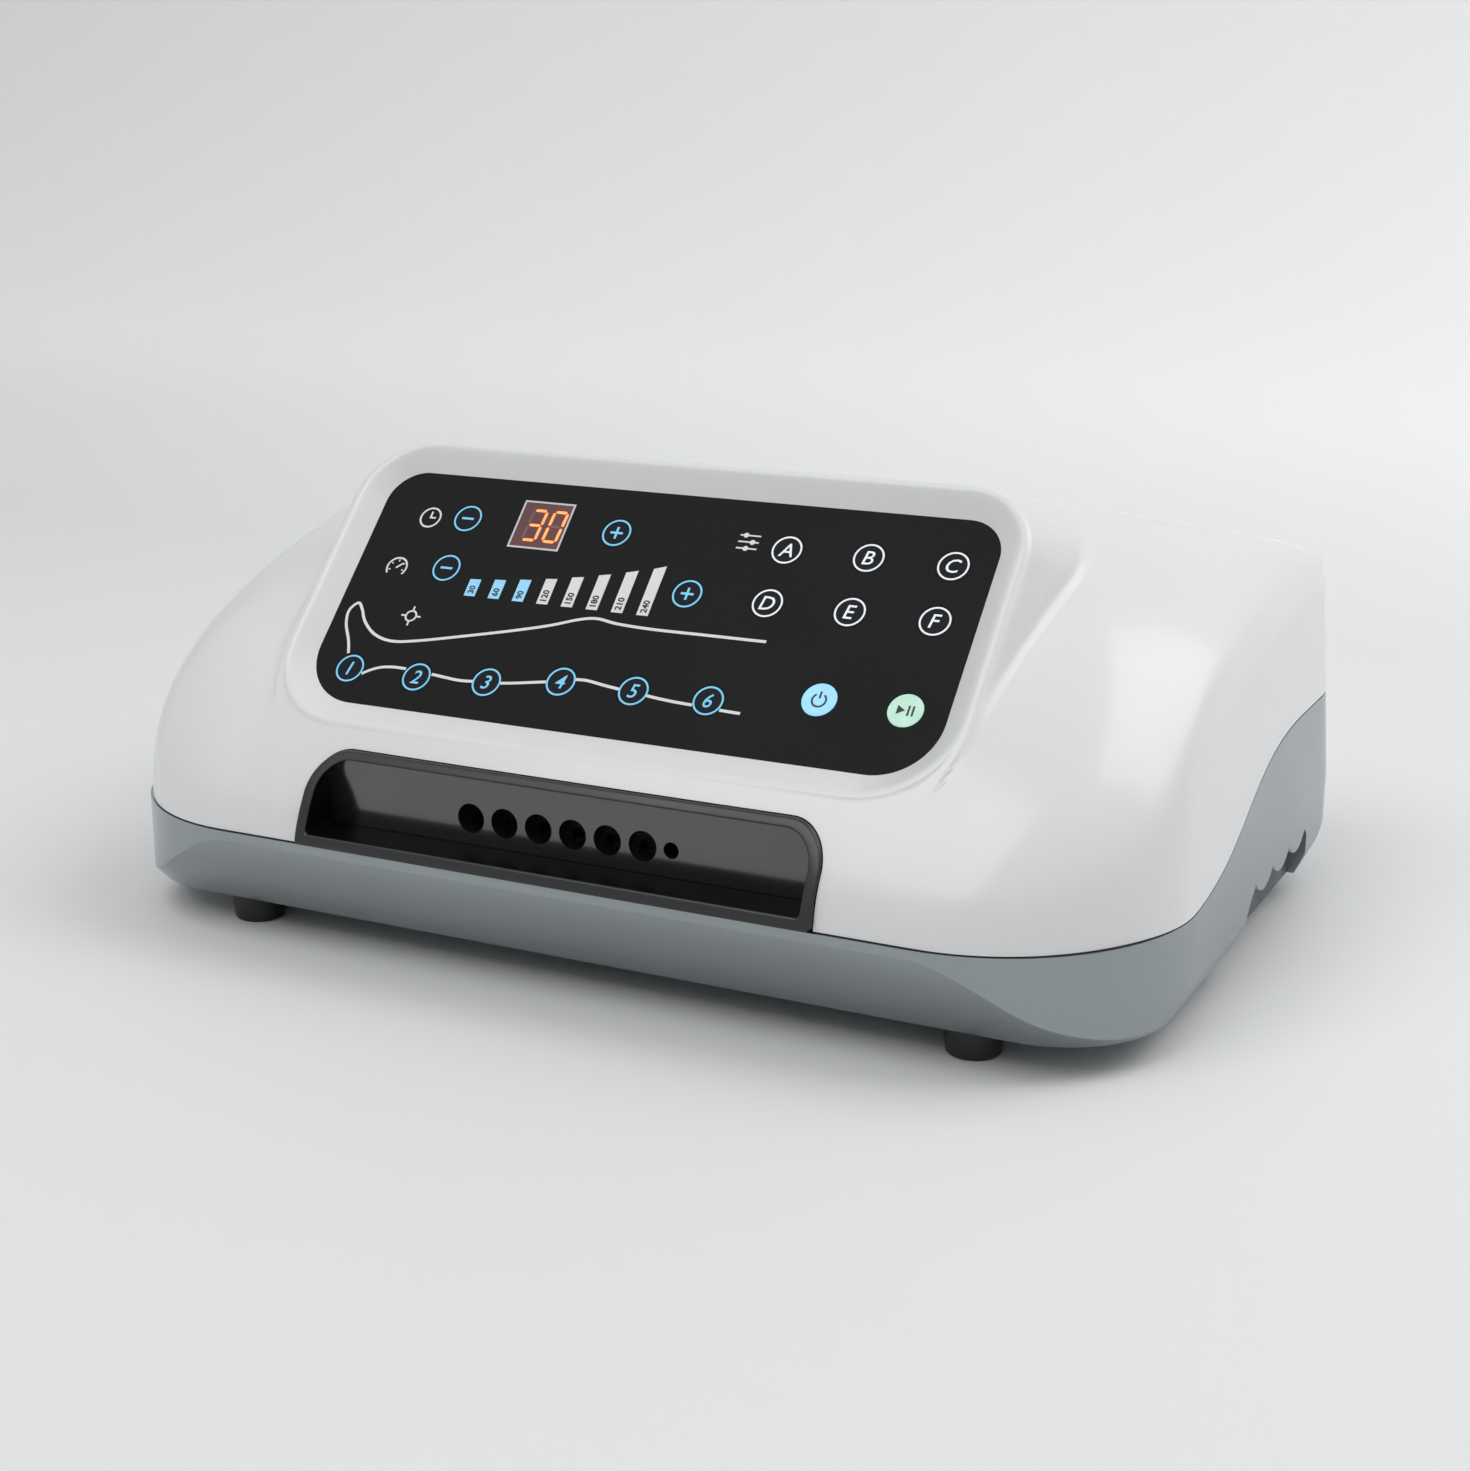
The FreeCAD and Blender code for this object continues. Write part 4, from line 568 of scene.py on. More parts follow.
def top_shell_grid():
    """The outside of the upper case as a grid of loops from the plate's edge out to the seam.

    Outer loops run on straight lines from the rim to the seam, and each point is moved along a ray
    that turns from the panel's normal to the wall's until it meets the field of the upper case.
    """
    inner = rim_rows()
    edge, outward = loop(CASE_HALF, -CASE_DEPTH_HALF, CASE_DEPTH_HALF, FRONT_CORNER, REAR_CORNER,
                         LOOP_COUNTS)
    lean = (seam_height(edge[:, 1]) - SEAM_LOW) * math.tan(DRAFT)
    edge = edge - outward * lean[:, None]
    seam = np.column_stack([edge, seam_height(edge[:, 1]) + SEAM_HALF_GAP])
    outward = np.column_stack([outward, np.zeros(len(outward))])
    steps = (np.linspace(0, 1, OUTER_ROWS + 1)[1:] ** OUTER_SPREAD)[:, None, None]
    base = inner[-1] * (1 - steps) + seam * steps
    turn = steps ** (TURN_POWER + REAR_TURN_POWER * np.maximum(outward[:, 1:2], 0))
    direction = panel_normal() * (1 - turn) + outward * turn
    direction = direction / np.linalg.norm(direction, axis=-1, keepdims=True)
    outer = solve(top_field, base, direction, WALL_REACH)
    back = outer[-1] - outward * SHELL_WALL
    lip = np.stack([outer[-1] - outward * LIP_IN, back, back + [0, 0, LIP_UP]])
    return np.concatenate([inner, outer, lip])


def opening_field(p):
    """Distance to the outline of the socket's opening, seen from the front."""
    return round_box(p[..., 0], p[..., 2], BEZEL_HALF + BEZEL_FIT, BEZEL_LOW - OPENING_DROP,
                     BEZEL_HIGH + BEZEL_FIT, BEZEL_LOW_CORNER, BEZEL_CORNER + BEZEL_FIT)


def cut_socket_opening(points, faces):
    """Faces inside the hose socket's opening go; corners that straddle it move onto its edge."""
    here, slope = with_slope(opening_field, points, 0.01)
    inside = (here < 0) & (points[:, 1] < OPENING_REAR)
    kept = faces[~inside[faces].all(axis=1)]
    moved = inside & np.isin(np.arange(len(points)), kept)
    shifted = points[moved] - here[moved, None] * slope[moved]
    shifted[:, 2] = np.maximum(shifted[:, 2], seam_height(shifted[:, 1]) + SEAM_HALF_GAP)
    forward = np.broadcast_to(np.array([0.0, -1.0, 0.0]), shifted.shape)
    middle, reach = OPENING_SKIN
    on_lip = np.abs(points[moved][:, 1] - middle) > reach
    solved = solve(top_field, shifted, forward, reach)
    points = points.copy()
    points[moved] = np.where(on_lip[:, None], shifted, solved)
    return points, kept



# ---- shader nodes ----

def feed(tree, socket, given):
    """Set a socket to a constant, or link it to another socket."""
    if isinstance(given, bpy.types.NodeSocket):
        tree.links.new(given, socket)
    else:
        socket.default_value = given


def noise(tree, coordinates, scale, detail=1.0):
    """A noise texture on given coordinates."""
    node = tree.nodes.new("ShaderNodeTexNoise")
    feed(tree, node.inputs["Vector"], coordinates)
    feed(tree, node.inputs["Detail"], detail)
    feed(tree, node.inputs["Scale"], scale)
    return node.outputs["Fac"]


def ranged(tree, value, start, end, low, high):
    """A value from start..end spread over low..high and held there outside."""
    node = tree.nodes.new("ShaderNodeMapRange")
    for socket, given in (("Value", value), ("From Min", start), ("From Max", end),
                          ("To Min", low), ("To Max", high)):
        feed(tree, node.inputs[socket], given)
    return node.outputs["Result"]


def mapped(tree, value, low, high):
    """A noise value spread over low..high, with soft ends."""
    spread = ranged(tree, value, 0.22, 0.78, low, high)
    spread.node.interpolation_type = "SMOOTHSTEP"
    return spread


def computed(tree, operation, first, second):
    """The result of a Math node on two values."""
    node = tree.nodes.new("ShaderNodeMath")
    node.operation = operation
    feed(tree, node.inputs[0], first)
    feed(tree, node.inputs[1], second)
    return node.outputs[0]


def mixed(tree, share, first, second):
    """A mix of two colours."""
    node = tree.nodes.new("ShaderNodeMix")
    node.data_type = "RGBA"
    for socket, given in (("Factor", share), ("A", first), ("B", second)):
        feed(tree, node.inputs[socket], given)
    return node.outputs["Result"]


def coordinates_of(tree, kind="Object"):
    """Coordinates of the shaded point."""
    return tree.nodes.new("ShaderNodeTexCoord").outputs[kind]


def component(tree, vector, axis):
    """One component of a vector."""
    node = tree.nodes.new("ShaderNodeSeparateXYZ")
    tree.links.new(vector, node.inputs[0])
    return node.outputs[axis]


def seen_directly(tree):
    """One for camera, glossy and transmission rays, zero for the rays that light surfaces."""
    rays = tree.nodes.new("ShaderNodeLightPath").outputs
    mirrored = computed(tree, "MAXIMUM", rays["Is Glossy Ray"], rays["Is Transmission Ray"])
    return computed(tree, "MAXIMUM", rays["Is Camera Ray"], mirrored)


# ---- finishes ----

COAT_ROUGHNESS = 0.08
GRAIN_DEPTH = 0.0002


def moulded_group():
    """Moulded surface: a colour that drifts between two tints, an uneven gloss and a fine grain."""
    found = bpy.data.node_groups.get("moulded_surface")
    if found:
        return found
    tree = bpy.data.node_groups.new("moulded_surface", "ShaderNodeTree")
    for way, kind, labels in (
            ("INPUT", "NodeSocketColor", ("Colour", "Tint")),
            ("INPUT", "NodeSocketFloat", ("Patch Scale", "Grain Scale", "Gloss Low", "Gloss High")),
            ("OUTPUT", "NodeSocketColor", ("Colour",)),
            ("OUTPUT", "NodeSocketFloat", ("Roughness", "Height"))):
        for label in labels:
            tree.interface.new_socket(label, in_out=way, socket_type=kind)
    given = tree.nodes.new("NodeGroupInput").outputs
    result = tree.nodes.new("NodeGroupOutput").inputs
    place = coordinates_of(tree)
    patch = noise(tree, place, given["Patch Scale"])
    for label, value in (
            ("Colour", mixed(tree, mapped(tree, patch, 0.0, 1.0), given["Colour"], given["Tint"])),
            ("Roughness", mapped(tree, patch, given["Gloss Low"], given["Gloss High"])),
            ("Height", noise(tree, place, given["Grain Scale"]))):
        tree.links.new(value, result[label])
    return tree


def tinted(base, factor):
    """A colour made lighter or darker."""
    return tuple(min(channel * factor, 1.0) for channel in base[:3]) + (1.0,)


def moulded(name, base, tint=0.93, gloss=(0.3, 0.4), patch=30.0, grain=2500.0, bump=0.02,
            metallic=0.0, specular=0.5, coat=0.0, glow=0.0):
    """A material of the moulded surface group in a Principled shader, made once for each name.

    Its own label keeps it apart from the plain material that the frame gives the slot.
    """
    label = "finish_" + name
    found = bpy.data.materials.get(label)
    if found:
        return found
    material = bpy.data.materials.new(label)
    material.use_nodes = True
    tree = material.node_tree
    shader = tree.nodes["Principled BSDF"]
    group = tree.nodes.new("ShaderNodeGroup")
    group.node_tree = moulded_group()
    for socket, value in (("Colour", tinted(base, 1.0)), ("Tint", tinted(base, tint)),
                          ("Patch Scale", patch), ("Grain Scale", grain),
                          ("Gloss Low", gloss[0]), ("Gloss High", gloss[1])):
        group.inputs[socket].default_value = value
    relief = tree.nodes.new("ShaderNodeBump")
    relief.inputs["Strength"].default_value = bump
    relief.inputs["Distance"].default_value = GRAIN_DEPTH
    tree.links.new(group.outputs["Height"], relief.inputs["Height"])
    for socket, given in (("Base Color", group.outputs["Colour"]),
                          ("Roughness", group.outputs["Roughness"]),
                          ("Normal", relief.outputs["Normal"]), ("Metallic", metallic),
                          ("Specular IOR Level", specular), ("Coat Weight", coat),
                          ("Coat Roughness", COAT_ROUGHNESS)):
        feed(tree, shader.inputs[socket], given)
    if glow:
        tree.links.new(group.outputs["Colour"], shader.inputs["Emission Color"])
        shader.inputs["Emission Strength"].default_value = glow
    return material


PRINT = dict(gloss=(0.4, 0.5), patch=200.0)

# What each finish gives to moulded().  Its base is a colour, or a tone of the colour group that
# shade makes lighter or darker.
FINISHES = {
    "white_shell": dict(base="shell", tint=0.985, gloss=(0.25, 0.27), patch=5.0, grain=1800.0,
                        bump=0.012, coat=0.25),
    "grey_base": dict(base="base", tint=0.94, gloss=(0.20, 0.26), patch=22.0, grain=2200.0,
                      bump=0.04, metallic=0.85),
    "foot_rubber": dict(base="rubber", tint=0.7, gloss=(0.35, 0.5), patch=90.0, bump=0.05),
    "panel_black": dict(base="panel", tint=1.25, gloss=(0.42, 0.50), patch=26.0, grain=3500.0,
                        specular=0.12),
    "display": dict(base=(0.15, 0.05, 0.05), tint=0.8, gloss=(0.25, 0.3), patch=150.0),
    "key_face": dict(base=(0.007, 0.009, 0.014), tint=1.3, gloss=(0.40, 0.48), patch=60.0,
                     specular=0.12),
    "power_key": dict(base="glow_blue", gloss=(0.4, 0.5), patch=300.0, glow=0.45),
    "start_key": dict(base="glow_green", gloss=(0.4, 0.5), patch=300.0, glow=0.28),
    "bezel_black": dict(base="socket", tint=0.8, gloss=(0.24, 0.32), patch=40.0, bump=0.03,
                        specular=0.6),
    # Painted shade: the socket's colour darkened for the inside of the socket, where the frame
    # shades it.
    "socket_wall": dict(base="socket", shade=0.4, tint=0.8, patch=40.0, specular=0.08),
    "manifold_black": dict(base="socket", shade=1.3, tint=0.8, gloss=(0.14, 0.20), patch=50.0,
                           bump=0.03, specular=1.0, coat=1.0),
    # Painted shade: the dark grey of the plates at the backs of the side recesses stands in for
    # their shadow.
    "recess_grey": dict(base=(0.060, 0.072, 0.078), tint=0.85, gloss=(0.4, 0.5), patch=60.0,
                        bump=0.03),
    "board": dict(base=(0.02, 0.16, 0.07), tint=0.8, patch=60.0),
    "switch": dict(base=(0.05, 0.05, 0.055), tint=1.5, gloss=(0.35, 0.45), patch=120.0),
    "valve_case": dict(base=(0.55, 0.56, 0.55), tint=0.9, gloss=(0.35, 0.45), patch=80.0),
    "rail_plastic": dict(base=(0.62, 0.62, 0.6), tint=0.92, gloss=(0.35, 0.45), patch=50.0),
    "hose_silicone": dict(base=(0.75, 0.75, 0.72), tint=0.9, patch=70.0),
    "steel": dict(base=(0.62, 0.62, 0.63), tint=0.85, gloss=(0.28, 0.4), patch=80.0, metallic=1.0),
    "core_steel": dict(base=(0.35, 0.35, 0.36), tint=0.8, gloss=(0.4, 0.5), patch=80.0,
                       metallic=1.0),
    "copper": dict(base=(0.72, 0.36, 0.2), tint=0.8, gloss=(0.3, 0.42), patch=150.0, metallic=1.0),
    "aluminium": dict(base=(0.72, 0.73, 0.74), tint=0.9, gloss=(0.32, 0.42), patch=60.0,
                      metallic=1.0),
    "inlet_black": dict(base=(0.02, 0.02, 0.021), tint=0.75, gloss=(0.35, 0.45), patch=70.0,
                        bump=0.03),
    "print_white": dict(base="print_white", tint=0.95, gloss=(0.45, 0.55), patch=200.0),
    "bar_lit": dict(PRINT, base="glow_blue", glow=0.25),
    "line_blue": dict(PRINT, base=(0.11, 0.36, 0.52), glow=1.0),
    "line_white": dict(PRINT, base="glow_white", tint=0.97, glow=0.25),
    "sign_dark": dict(PRINT, base=(0.012, 0.016, 0.024), tint=1.3),
    "digit_lit": dict(base="digit", tint=0.85, patch=500.0, glow=2.2),
    "digit_dark": dict(base=(0.22, 0.10, 0.10), tint=0.85, patch=300.0),
    "display_frame": dict(base=(0.75, 0.76, 0.77), tint=0.9, patch=120.0),
}

# The finish of each CAD node, by the longest of these starts that its name has.
NODE_FINISHES = {
    "top_shell": "white_shell", "base_shell": "grey_base", "foot_": "foot_rubber",
    "pump_mounts": "foot_rubber", "pump_diaphragms": "foot_rubber",
    "panel_overlay": "panel_black", "display_module": "display", "key_": "key_face",
    "key_power": "power_key", "key_start": "start_key", "port_bezel": "bezel_black",
    "port_manifold": "manifold_black", "control_board": "board", "power_board": "board",
    "tact_switches": "switch", "solenoid_valve_": "valve_case", "valve_rail": "rail_plastic",
    "air_hoses": "hose_silicone", "valve_plunger_": "steel", "pump_frame": "steel",
    "case_screws": "steel", "board_screws": "steel", "pump_core": "core_steel",
    "pump_armature": "core_steel", "transformer": "core_steel", "pump_coils": "copper",
    "pump_head_": "aluminium", "mains_inlet": "inlet_black",
}


def finish(name):
    """One of the pump's materials by name."""
    given = dict(FINISHES[name])
    base, shade = given.pop("base"), given.pop("shade", 1.0)
    if isinstance(base, str):
        base = tinted(getattr(bpy.context.scene.pump_colours, base), shade)
    return moulded(name, base, **given)


class PUMP_OT_paint_nodes(bpy.types.Operator):
    """Give every CAD node its finish"""
    bl_idname = "pump.paint_nodes"
    bl_label = "Paint the CAD nodes"

    def execute(self, context):
        for node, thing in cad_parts.items():
            starts = [start for start in NODE_FINISHES if node.startswith(start)]
            if not starts:
                raise RuntimeError(f"no finish for node {node}")
            thing.data.materials.clear()
            thing.data.materials.append(finish(NODE_FINISHES[max(starts, key=len)]))
        return {"FINISHED"}


# ---- case ----

class PUMP_OT_make_top_shell(bpy.types.Operator):
    """Lay the smooth outside of the upper case"""
    bl_idname = "pump.make_top_shell"
    bl_label = "Upper case"

    def execute(self, context):
        grid = top_shell_grid()
        faces = grid_faces(*grid.shape[:2], wrap=True, flip=True)
        points, faces = cut_socket_opening(grid.reshape(-1, 3), faces)
        piece = add_mesh("upper_case", points, faces, finish("white_shell"), sharp=50.0)
        set_piece(piece, "case", "top_shell")
        return {"FINISHED"}


def revolved_points(profile, centre, count=64):
    """A profile of (radius, height) pairs turned round an upright axis: a ring for each pair."""
    angle = np.linspace(0, 2 * math.pi, count, endpoint=False)
    radius, height = np.asarray(profile, float).T[..., None]
    return np.stack([centre[0] + radius * np.cos(angle), centre[1] + radius * np.sin(angle),
                     np.broadcast_to(height, (len(radius), count))], -1)


def arc_profile(centre, radius, start, end, steps=5):
    """Points of a circular arc in a profile, angles in degrees."""
    angle = np.radians(np.linspace(start, end, steps))
    return [(centre[0] + radius * math.cos(a), centre[1] + radius * math.sin(a)) for a in angle]


class PUMP_OT_make_feet(bpy.types.Operator):
    """Turn the rubber feet with rounded treads"""
    bl_idname = "pump.make_feet"
    bl_label = "Feet"

    def execute(self, context):
        profile = [(AXIS_RADIUS, FOOT_DISH), (FOOT_DISH_RADIUS, FOOT_DISH), (FOOT_DISH_EDGE, 0.0)]
        profile += arc_profile((FOOT_RADIUS - FOOT_TREAD, FOOT_TREAD), FOOT_TREAD, -90, -5)
        profile += [(FOOT_TOP_RADIUS - FOOT_NECK, FOOT_HEIGHT - FOOT_SHOULDER),
                    (FOOT_TOP_RADIUS - FOOT_SHOULDER, FOOT_HEIGHT), (AXIS_RADIUS, FOOT_HEIGHT)]
        for end, (x, y) in FEET.items():
            for side, centre in (("left", (-x, y)), ("right", (x, y))):
                node = f"foot_{end}_{side}"
                rings = revolved_points(profile, centre)
                faces = grid_faces(*rings.shape[:2], wrap=True)
                piece = add_mesh(node + "_tread", rings, faces, finish("foot_rubber"))
                set_piece(piece, "case", node)
        return {"FINISHED"}


def recess_outline():
    """The outline of a side recess as (y, z): a level foot below a row of round teeth."""
    turn = np.linspace(0, math.pi, 16, endpoint=False)
    outline = list(RECESS_FRONT)
    for lobe in range(RECESS_LOBES):
        along = RECESS_START + lobe * RECESS_PITCH + RECESS_PITCH * (1 - np.cos(turn)) / 2
        outline += list(zip(along, RECESS_CROWN - (RECESS_CROWN - RECESS_SAG) * np.sin(turn)))
    outline += [(RECESS_START + RECESS_LOBES * RECESS_PITCH, RECESS_CROWN), *RECESS_REAR]
    return np.array(outline, float)


class PUMP_OT_make_recess_shade_plates(bpy.types.Operator):
    """Line the backs of the toothed side recesses with dark plates: painted shade where the
    recesses lie in shadow
    """
    bl_idname = "pump.make_recess_backs"
    bl_label = "Recess backs"

    def execute(self, context):
        # Each plate is a thin dark sheet of painted shade, set where the recess is only in shadow.
        outline = recess_outline()
        for name, side in (("left", -1), ("right", 1)):
            points = np.concatenate([np.insert(outline, 0, side * (RECESS_FLOOR + face), axis=1)
                                     for face in RECESS_FACES])
            faces = prism_faces(len(outline))
            if side > 0:
                faces = [face[::-1] for face in faces]
            piece = add_mesh("recess_back_" + name, points, faces, finish("recess_grey"), 30.0)
            set_piece(piece, "case")
        return {"FINISHED"}


# ---- hose socket ----

def fascia_front(z, proud):
    """The depth position of the front slope at the middle, moved out by a distance."""
    crest = DOME_TOP + proud
    front = -CASE_DEPTH_HALF - DOME_OVERHANG - proud
    middle = -CASE_DEPTH_HALF + FASCIA_RUN
    up = part_way(z, SEAM_LOW, crest - SEAM_LOW)
    return middle - (middle - front) * (1 - up ** FASCIA_POWER) ** (1 / FASCIA_POWER)


class PUMP_OT_make_bezel(bpy.types.Operator):
    """Make the frame of the hose socket with rounded edges"""
    bl_idname = "pump.make_bezel"
    bl_label = "Socket frame"

    def execute(self, context):
        angle = np.linspace(0, math.pi / 2, 5)
        edge_in = BEZEL_SOFT * (1 - np.cos(angle))
        edge_back = BEZEL_SOFT * (1 - np.sin(angle))
        inset = np.concatenate([[0.0, 0.0], edge_in, -edge_in[::-1], [0.0, 0.0]])
        back = np.concatenate([[BEZEL_BACK, BEZEL_STEP], edge_back, edge_back[::-1],
                               [BEZEL_STEP, BEZEL_INNER_BACK]])
        inner = np.repeat([0.0, 1.0], len(back) // 2)
        side = inner * BEZEL_SIDE + inset
        top = inner * BEZEL_TOP + inset
        outline, _ = loop(BEZEL_HALF - side, BEZEL_LOW + side, BEZEL_HIGH - top,
                          BEZEL_LOW_CORNER - inset * 0.5, BEZEL_CORNER - top, BEZEL_COUNTS)
        depth = fascia_front(outline[..., 1], BEZEL_PROUD) + back[:, None]
        points = np.stack([outline[..., 0], depth, outline[..., 1]], -1)
        rows, columns = points.shape[:2]
        piece = add_mesh("socket_frame", points, grid_faces(rows, columns, wrap=True),
                         finish("bezel_black"), 60.0)
        # The last rows, the inside wall of the socket, take a darker copy of the frame's finish:
        # painted shade.
        piece.data.materials.append(finish("socket_wall"))
        wall = np.repeat(np.arange(rows - 1) >= rows - 3, columns)
        piece.data.polygons.foreach_set("material_index", wall.astype(np.int32))
        set_piece(piece, "case", "port_bezel")
        return {"FINISHED"}


# ---- panel signs ----

def print_levels():
    """Lower and upper level of the print on the plate."""
    return -PRINT_SINK, bpy.context.scene.pump_sizes.print_level / MM


def over_print(levels):
    """Lower and upper level of a second print on the first."""
    return levels[1] - PRINT_SINK, levels[1] + SECOND_PRINT


def flat_prism(outline, levels):
    """A flat sign: a closed outline of (x, v) between two levels, as points and faces."""
    x, v = np.asarray(outline, float).T
    return np.concatenate([on_panel(x, v, level) for level in levels]), prism_faces(len(x))


def ribbon(path, width, levels, closed=False):
    """A printed line: four edges carried along a path of (x, v), half a width to each side."""
    path = np.asarray(path, float)
    if closed:
        ahead = np.roll(path, -1, 0) - np.roll(path, 1, 0)
    else:
        ahead = np.gradient(path, axis=0)
    ahead /= np.linalg.norm(ahead, axis=1, keepdims=True)
    normal = np.stack([-ahead[:, 1], ahead[:, 0]], -1) * width / 2
    low, high = levels
    rows = np.stack([on_panel(*(path + side * normal).T, level)
                     for side, level in ((-1, low), (-1, high), (1, high), (1, low))], 1)
    count = 4 * len(path)
    faces = (grid_faces(len(path) + closed, 4, wrap=True, flip=True) % count).tolist()
    if not closed:
        faces += [[0, 1, 2, 3], [count - 1, count - 2, count - 3, count - 4]]
    return rows.reshape(-1, 3), faces


def stroke(start, end, width, levels):
    """A straight printed line."""
    return ribbon(np.linspace(start, end, 3), width, levels)


def circle(x, v, radius, count=64, start=0.0, end=360.0):
    """Points of a circle or arc on the panel, angles in degrees from the right."""
    angle = np.radians(np.linspace(start, end, count, endpoint=end - start < 360))
    return np.stack([x + radius * np.cos(angle), v + radius * np.sin(angle)], -1)


def smooth_path(knots, steps):
    """A smooth line through knots: uniform Catmull-Rom cubics, all segments at once."""
    knots = np.asarray(knots, float)
    padded = np.concatenate([[2 * knots[0] - knots[1]], knots, [2 * knots[-1] - knots[-2]]])
    t = np.linspace(0, 1, steps, endpoint=False)[None, :, None]
    a, b, c, d = (padded[i:len(padded) - 3 + i, None] for i in range(4))
    curve = 0.5 * (2 * b + (c - a) * t + (2 * a - 5 * b + 4 * c - d) * t ** 2
                   + (3 * b - a - 3 * c + d) * t ** 3)
    return np.concatenate([curve.reshape(-1, 2), knots[-1:]])


def figure(text, size, x, v, levels, turn=0.0, shear=0.16, bold=0.0):
    """Figures as closed prisms centred at (x, v): the built-in font turned to a mesh."""
    curve = bpy.data.curves.new("figure", "FONT")
    curve.body = text
    curve.size = 1.0
    curve.shear = shear
    curve.offset = bold
    curve.extrude = 0.5
    curve.resolution_u = 3
    thing = bpy.data.objects.new("figure", curve)
    bpy.context.scene.collection.objects.link(thing)
    bpy.context.view_layer.update()
    mesh = bpy.data.meshes.new_from_object(thing)
    bpy.data.objects.remove(thing)
    flat = np.zeros(len(mesh.vertices) * 3)
    mesh.vertices.foreach_get("co", flat)
    flat = flat.reshape(-1, 3)
    faces = [list(polygon.vertices) for polygon in mesh.polygons]
    bpy.data.meshes.remove(mesh)
    bpy.data.curves.remove(curve)
    middle = (flat.max(0) + flat.min(0)) / 2
    scale = size / (flat[:, 1].max() - flat[:, 1].min())
    across, up = ((flat[:, :2] - middle[:2]) * scale).T
    angle = math.radians(turn)
    level = np.where(flat[:, 2] > middle[2], levels[1], levels[0])
    points = on_panel(x + across * math.cos(angle) - up * math.sin(angle),
                      v + across * math.sin(angle) + up * math.cos(angle), level)
    return points, faces


def add_sign(name, parts, look, body="case"):
    """One sign piece from several outlines."""
    set_piece(add_mesh(name, *joined(parts), finish(look), 30.0), body)


def key_places():
    """The middle of every key: settings, run keys, three columns of modes and a row of zones."""
    places = {"time_minus": (MINUS_X, TIME_ROW), "time_plus": (TIME_PLUS_X, TIME_ROW),
              "pressure_minus": (MINUS_X, PRESSURE_ROW),
              "pressure_plus": (PRESSURE_PLUS_X, PRESSURE_ROW),
              "power": (KEY_COLUMNS[1], RUN_ROW), "start": (KEY_COLUMNS[2], RUN_ROW)}
    for index, letter in enumerate("abcdef"):
        places["mode_" + letter] = (KEY_COLUMNS[index % 3], MODE_ROWS[index // 3])
    for index, row in enumerate(ZONE_ROWS):
        places[f"zone_{index + 1}"] = (ZONE_LEFT + index * ZONE_PITCH, row)
    return places


def plus_minus(mark, x, v, levels, reach=1.75, width=0.62):
    """A minus, or a plus whose upright is two strokes that stop at the bar."""
    parts = [stroke((x - reach, v), (x + reach, v), width, levels)]
    if mark == "plus":
        parts += [stroke((x, v + end * width / 2), (x, v + end * reach), width, levels)
                  for end in (-1, 1)]
    return parts


def power_sign(x, v, levels, line=0.5):
    """An open ring with a stroke in its gap."""
    return [ribbon(circle(x, v - 0.15, 1.75, 40, -235, 55), line, levels),
            stroke((x, v + 0.3), (x, v + 2.2), line, levels)]


def start_sign(x, v, levels, line=0.5):
    """A play triangle with two upright strokes."""
    triangle = flat_prism([(x - 2.1, v + 1.2), (x - 2.1, v - 1.2), (x - 0.1, v)], levels)
    return [triangle] + [stroke((x + run, v - 1.35), (x + run, v + 1.35), line, levels)
                         for run in (0.75, 1.85)]


class PUMP_OT_make_key_signs(bpy.types.Operator):
    """Print the ring and the sign of every key"""
    bl_idname = "pump.make_key_signs"
    bl_label = "Key signs"

    def execute(self, context):
        sizes = context.scene.pump_sizes
        radius, line = sizes.ring_radius / MM, sizes.ring_line / MM
        levels = print_levels()
        for name, (x, v) in key_places().items():
            body = "key_" + name
            kind, _, mark = name.partition("_")
            if not mark:
                disc = flat_prism(circle(x, v, radius), levels)
                sign = {"power": power_sign, "start": start_sign}[name](x, v, over_print(levels))
                add_sign("disc_" + name, [disc], name + "_key", body)
                add_sign("sign_" + name, sign, "sign_dark", body)
                continue
            parts = [ribbon(circle(x, v, radius - line / 2), line, levels, closed=True)]
            if mark in ("minus", "plus"):
                parts += plus_minus(mark, x, v, levels)
            else:
                parts.append(figure(mark.upper(), sizes.sign_height / MM, x, v, levels,
                                    bold=BOLD_FIGURE))
            look = "line_white" if kind == "mode" else "line_blue"
            add_sign("sign_" + name, parts, look, body)
        return {"FINISHED"}


class PUMP_OT_make_pressure_bars(bpy.types.Operator):
    """Print the eight bars of the pressure scale with their figures"""
    bl_idname = "pump.make_pressure_bars"
    bl_label = "Pressure scale"

    def execute(self, context):
        levels = print_levels()
        bars, figures = [], []
        for number in range(BAR_COUNT):
            left = BAR_LEFT + BAR_PITCH * number
            right = left + BAR_WIDTH
            top = BAR_TOP[0] + BAR_TOP[1] * number + BAR_TOP[2] * number ** 2
            rise = BAR_SLANT[0] + BAR_SLANT[1] * number ** 2
            bars.append(flat_prism([(left, BAR_FOOT), (right, BAR_FOOT + BAR_FOOT_RISE),
                                    (right, top + rise), (left, top)], levels))
            label = str(BAR_STEP * (number + 1))
            middle = BAR_FIGURE_START + BAR_FIGURE_WIDTH * len(label) / 2
            figures.append(figure(label, BAR_FIGURE, left + BAR_WIDTH / 2, middle,
                                  over_print(levels), turn=90.0, shear=0.0, bold=BAR_FIGURE_BOLD))
        add_sign("scale_lit", bars[:BARS_LIT], "bar_lit")
        add_sign("scale_plain", bars[BARS_LIT:], "print_white")
        add_sign("scale_figures", figures, "sign_dark")
        return {"FINISHED"}


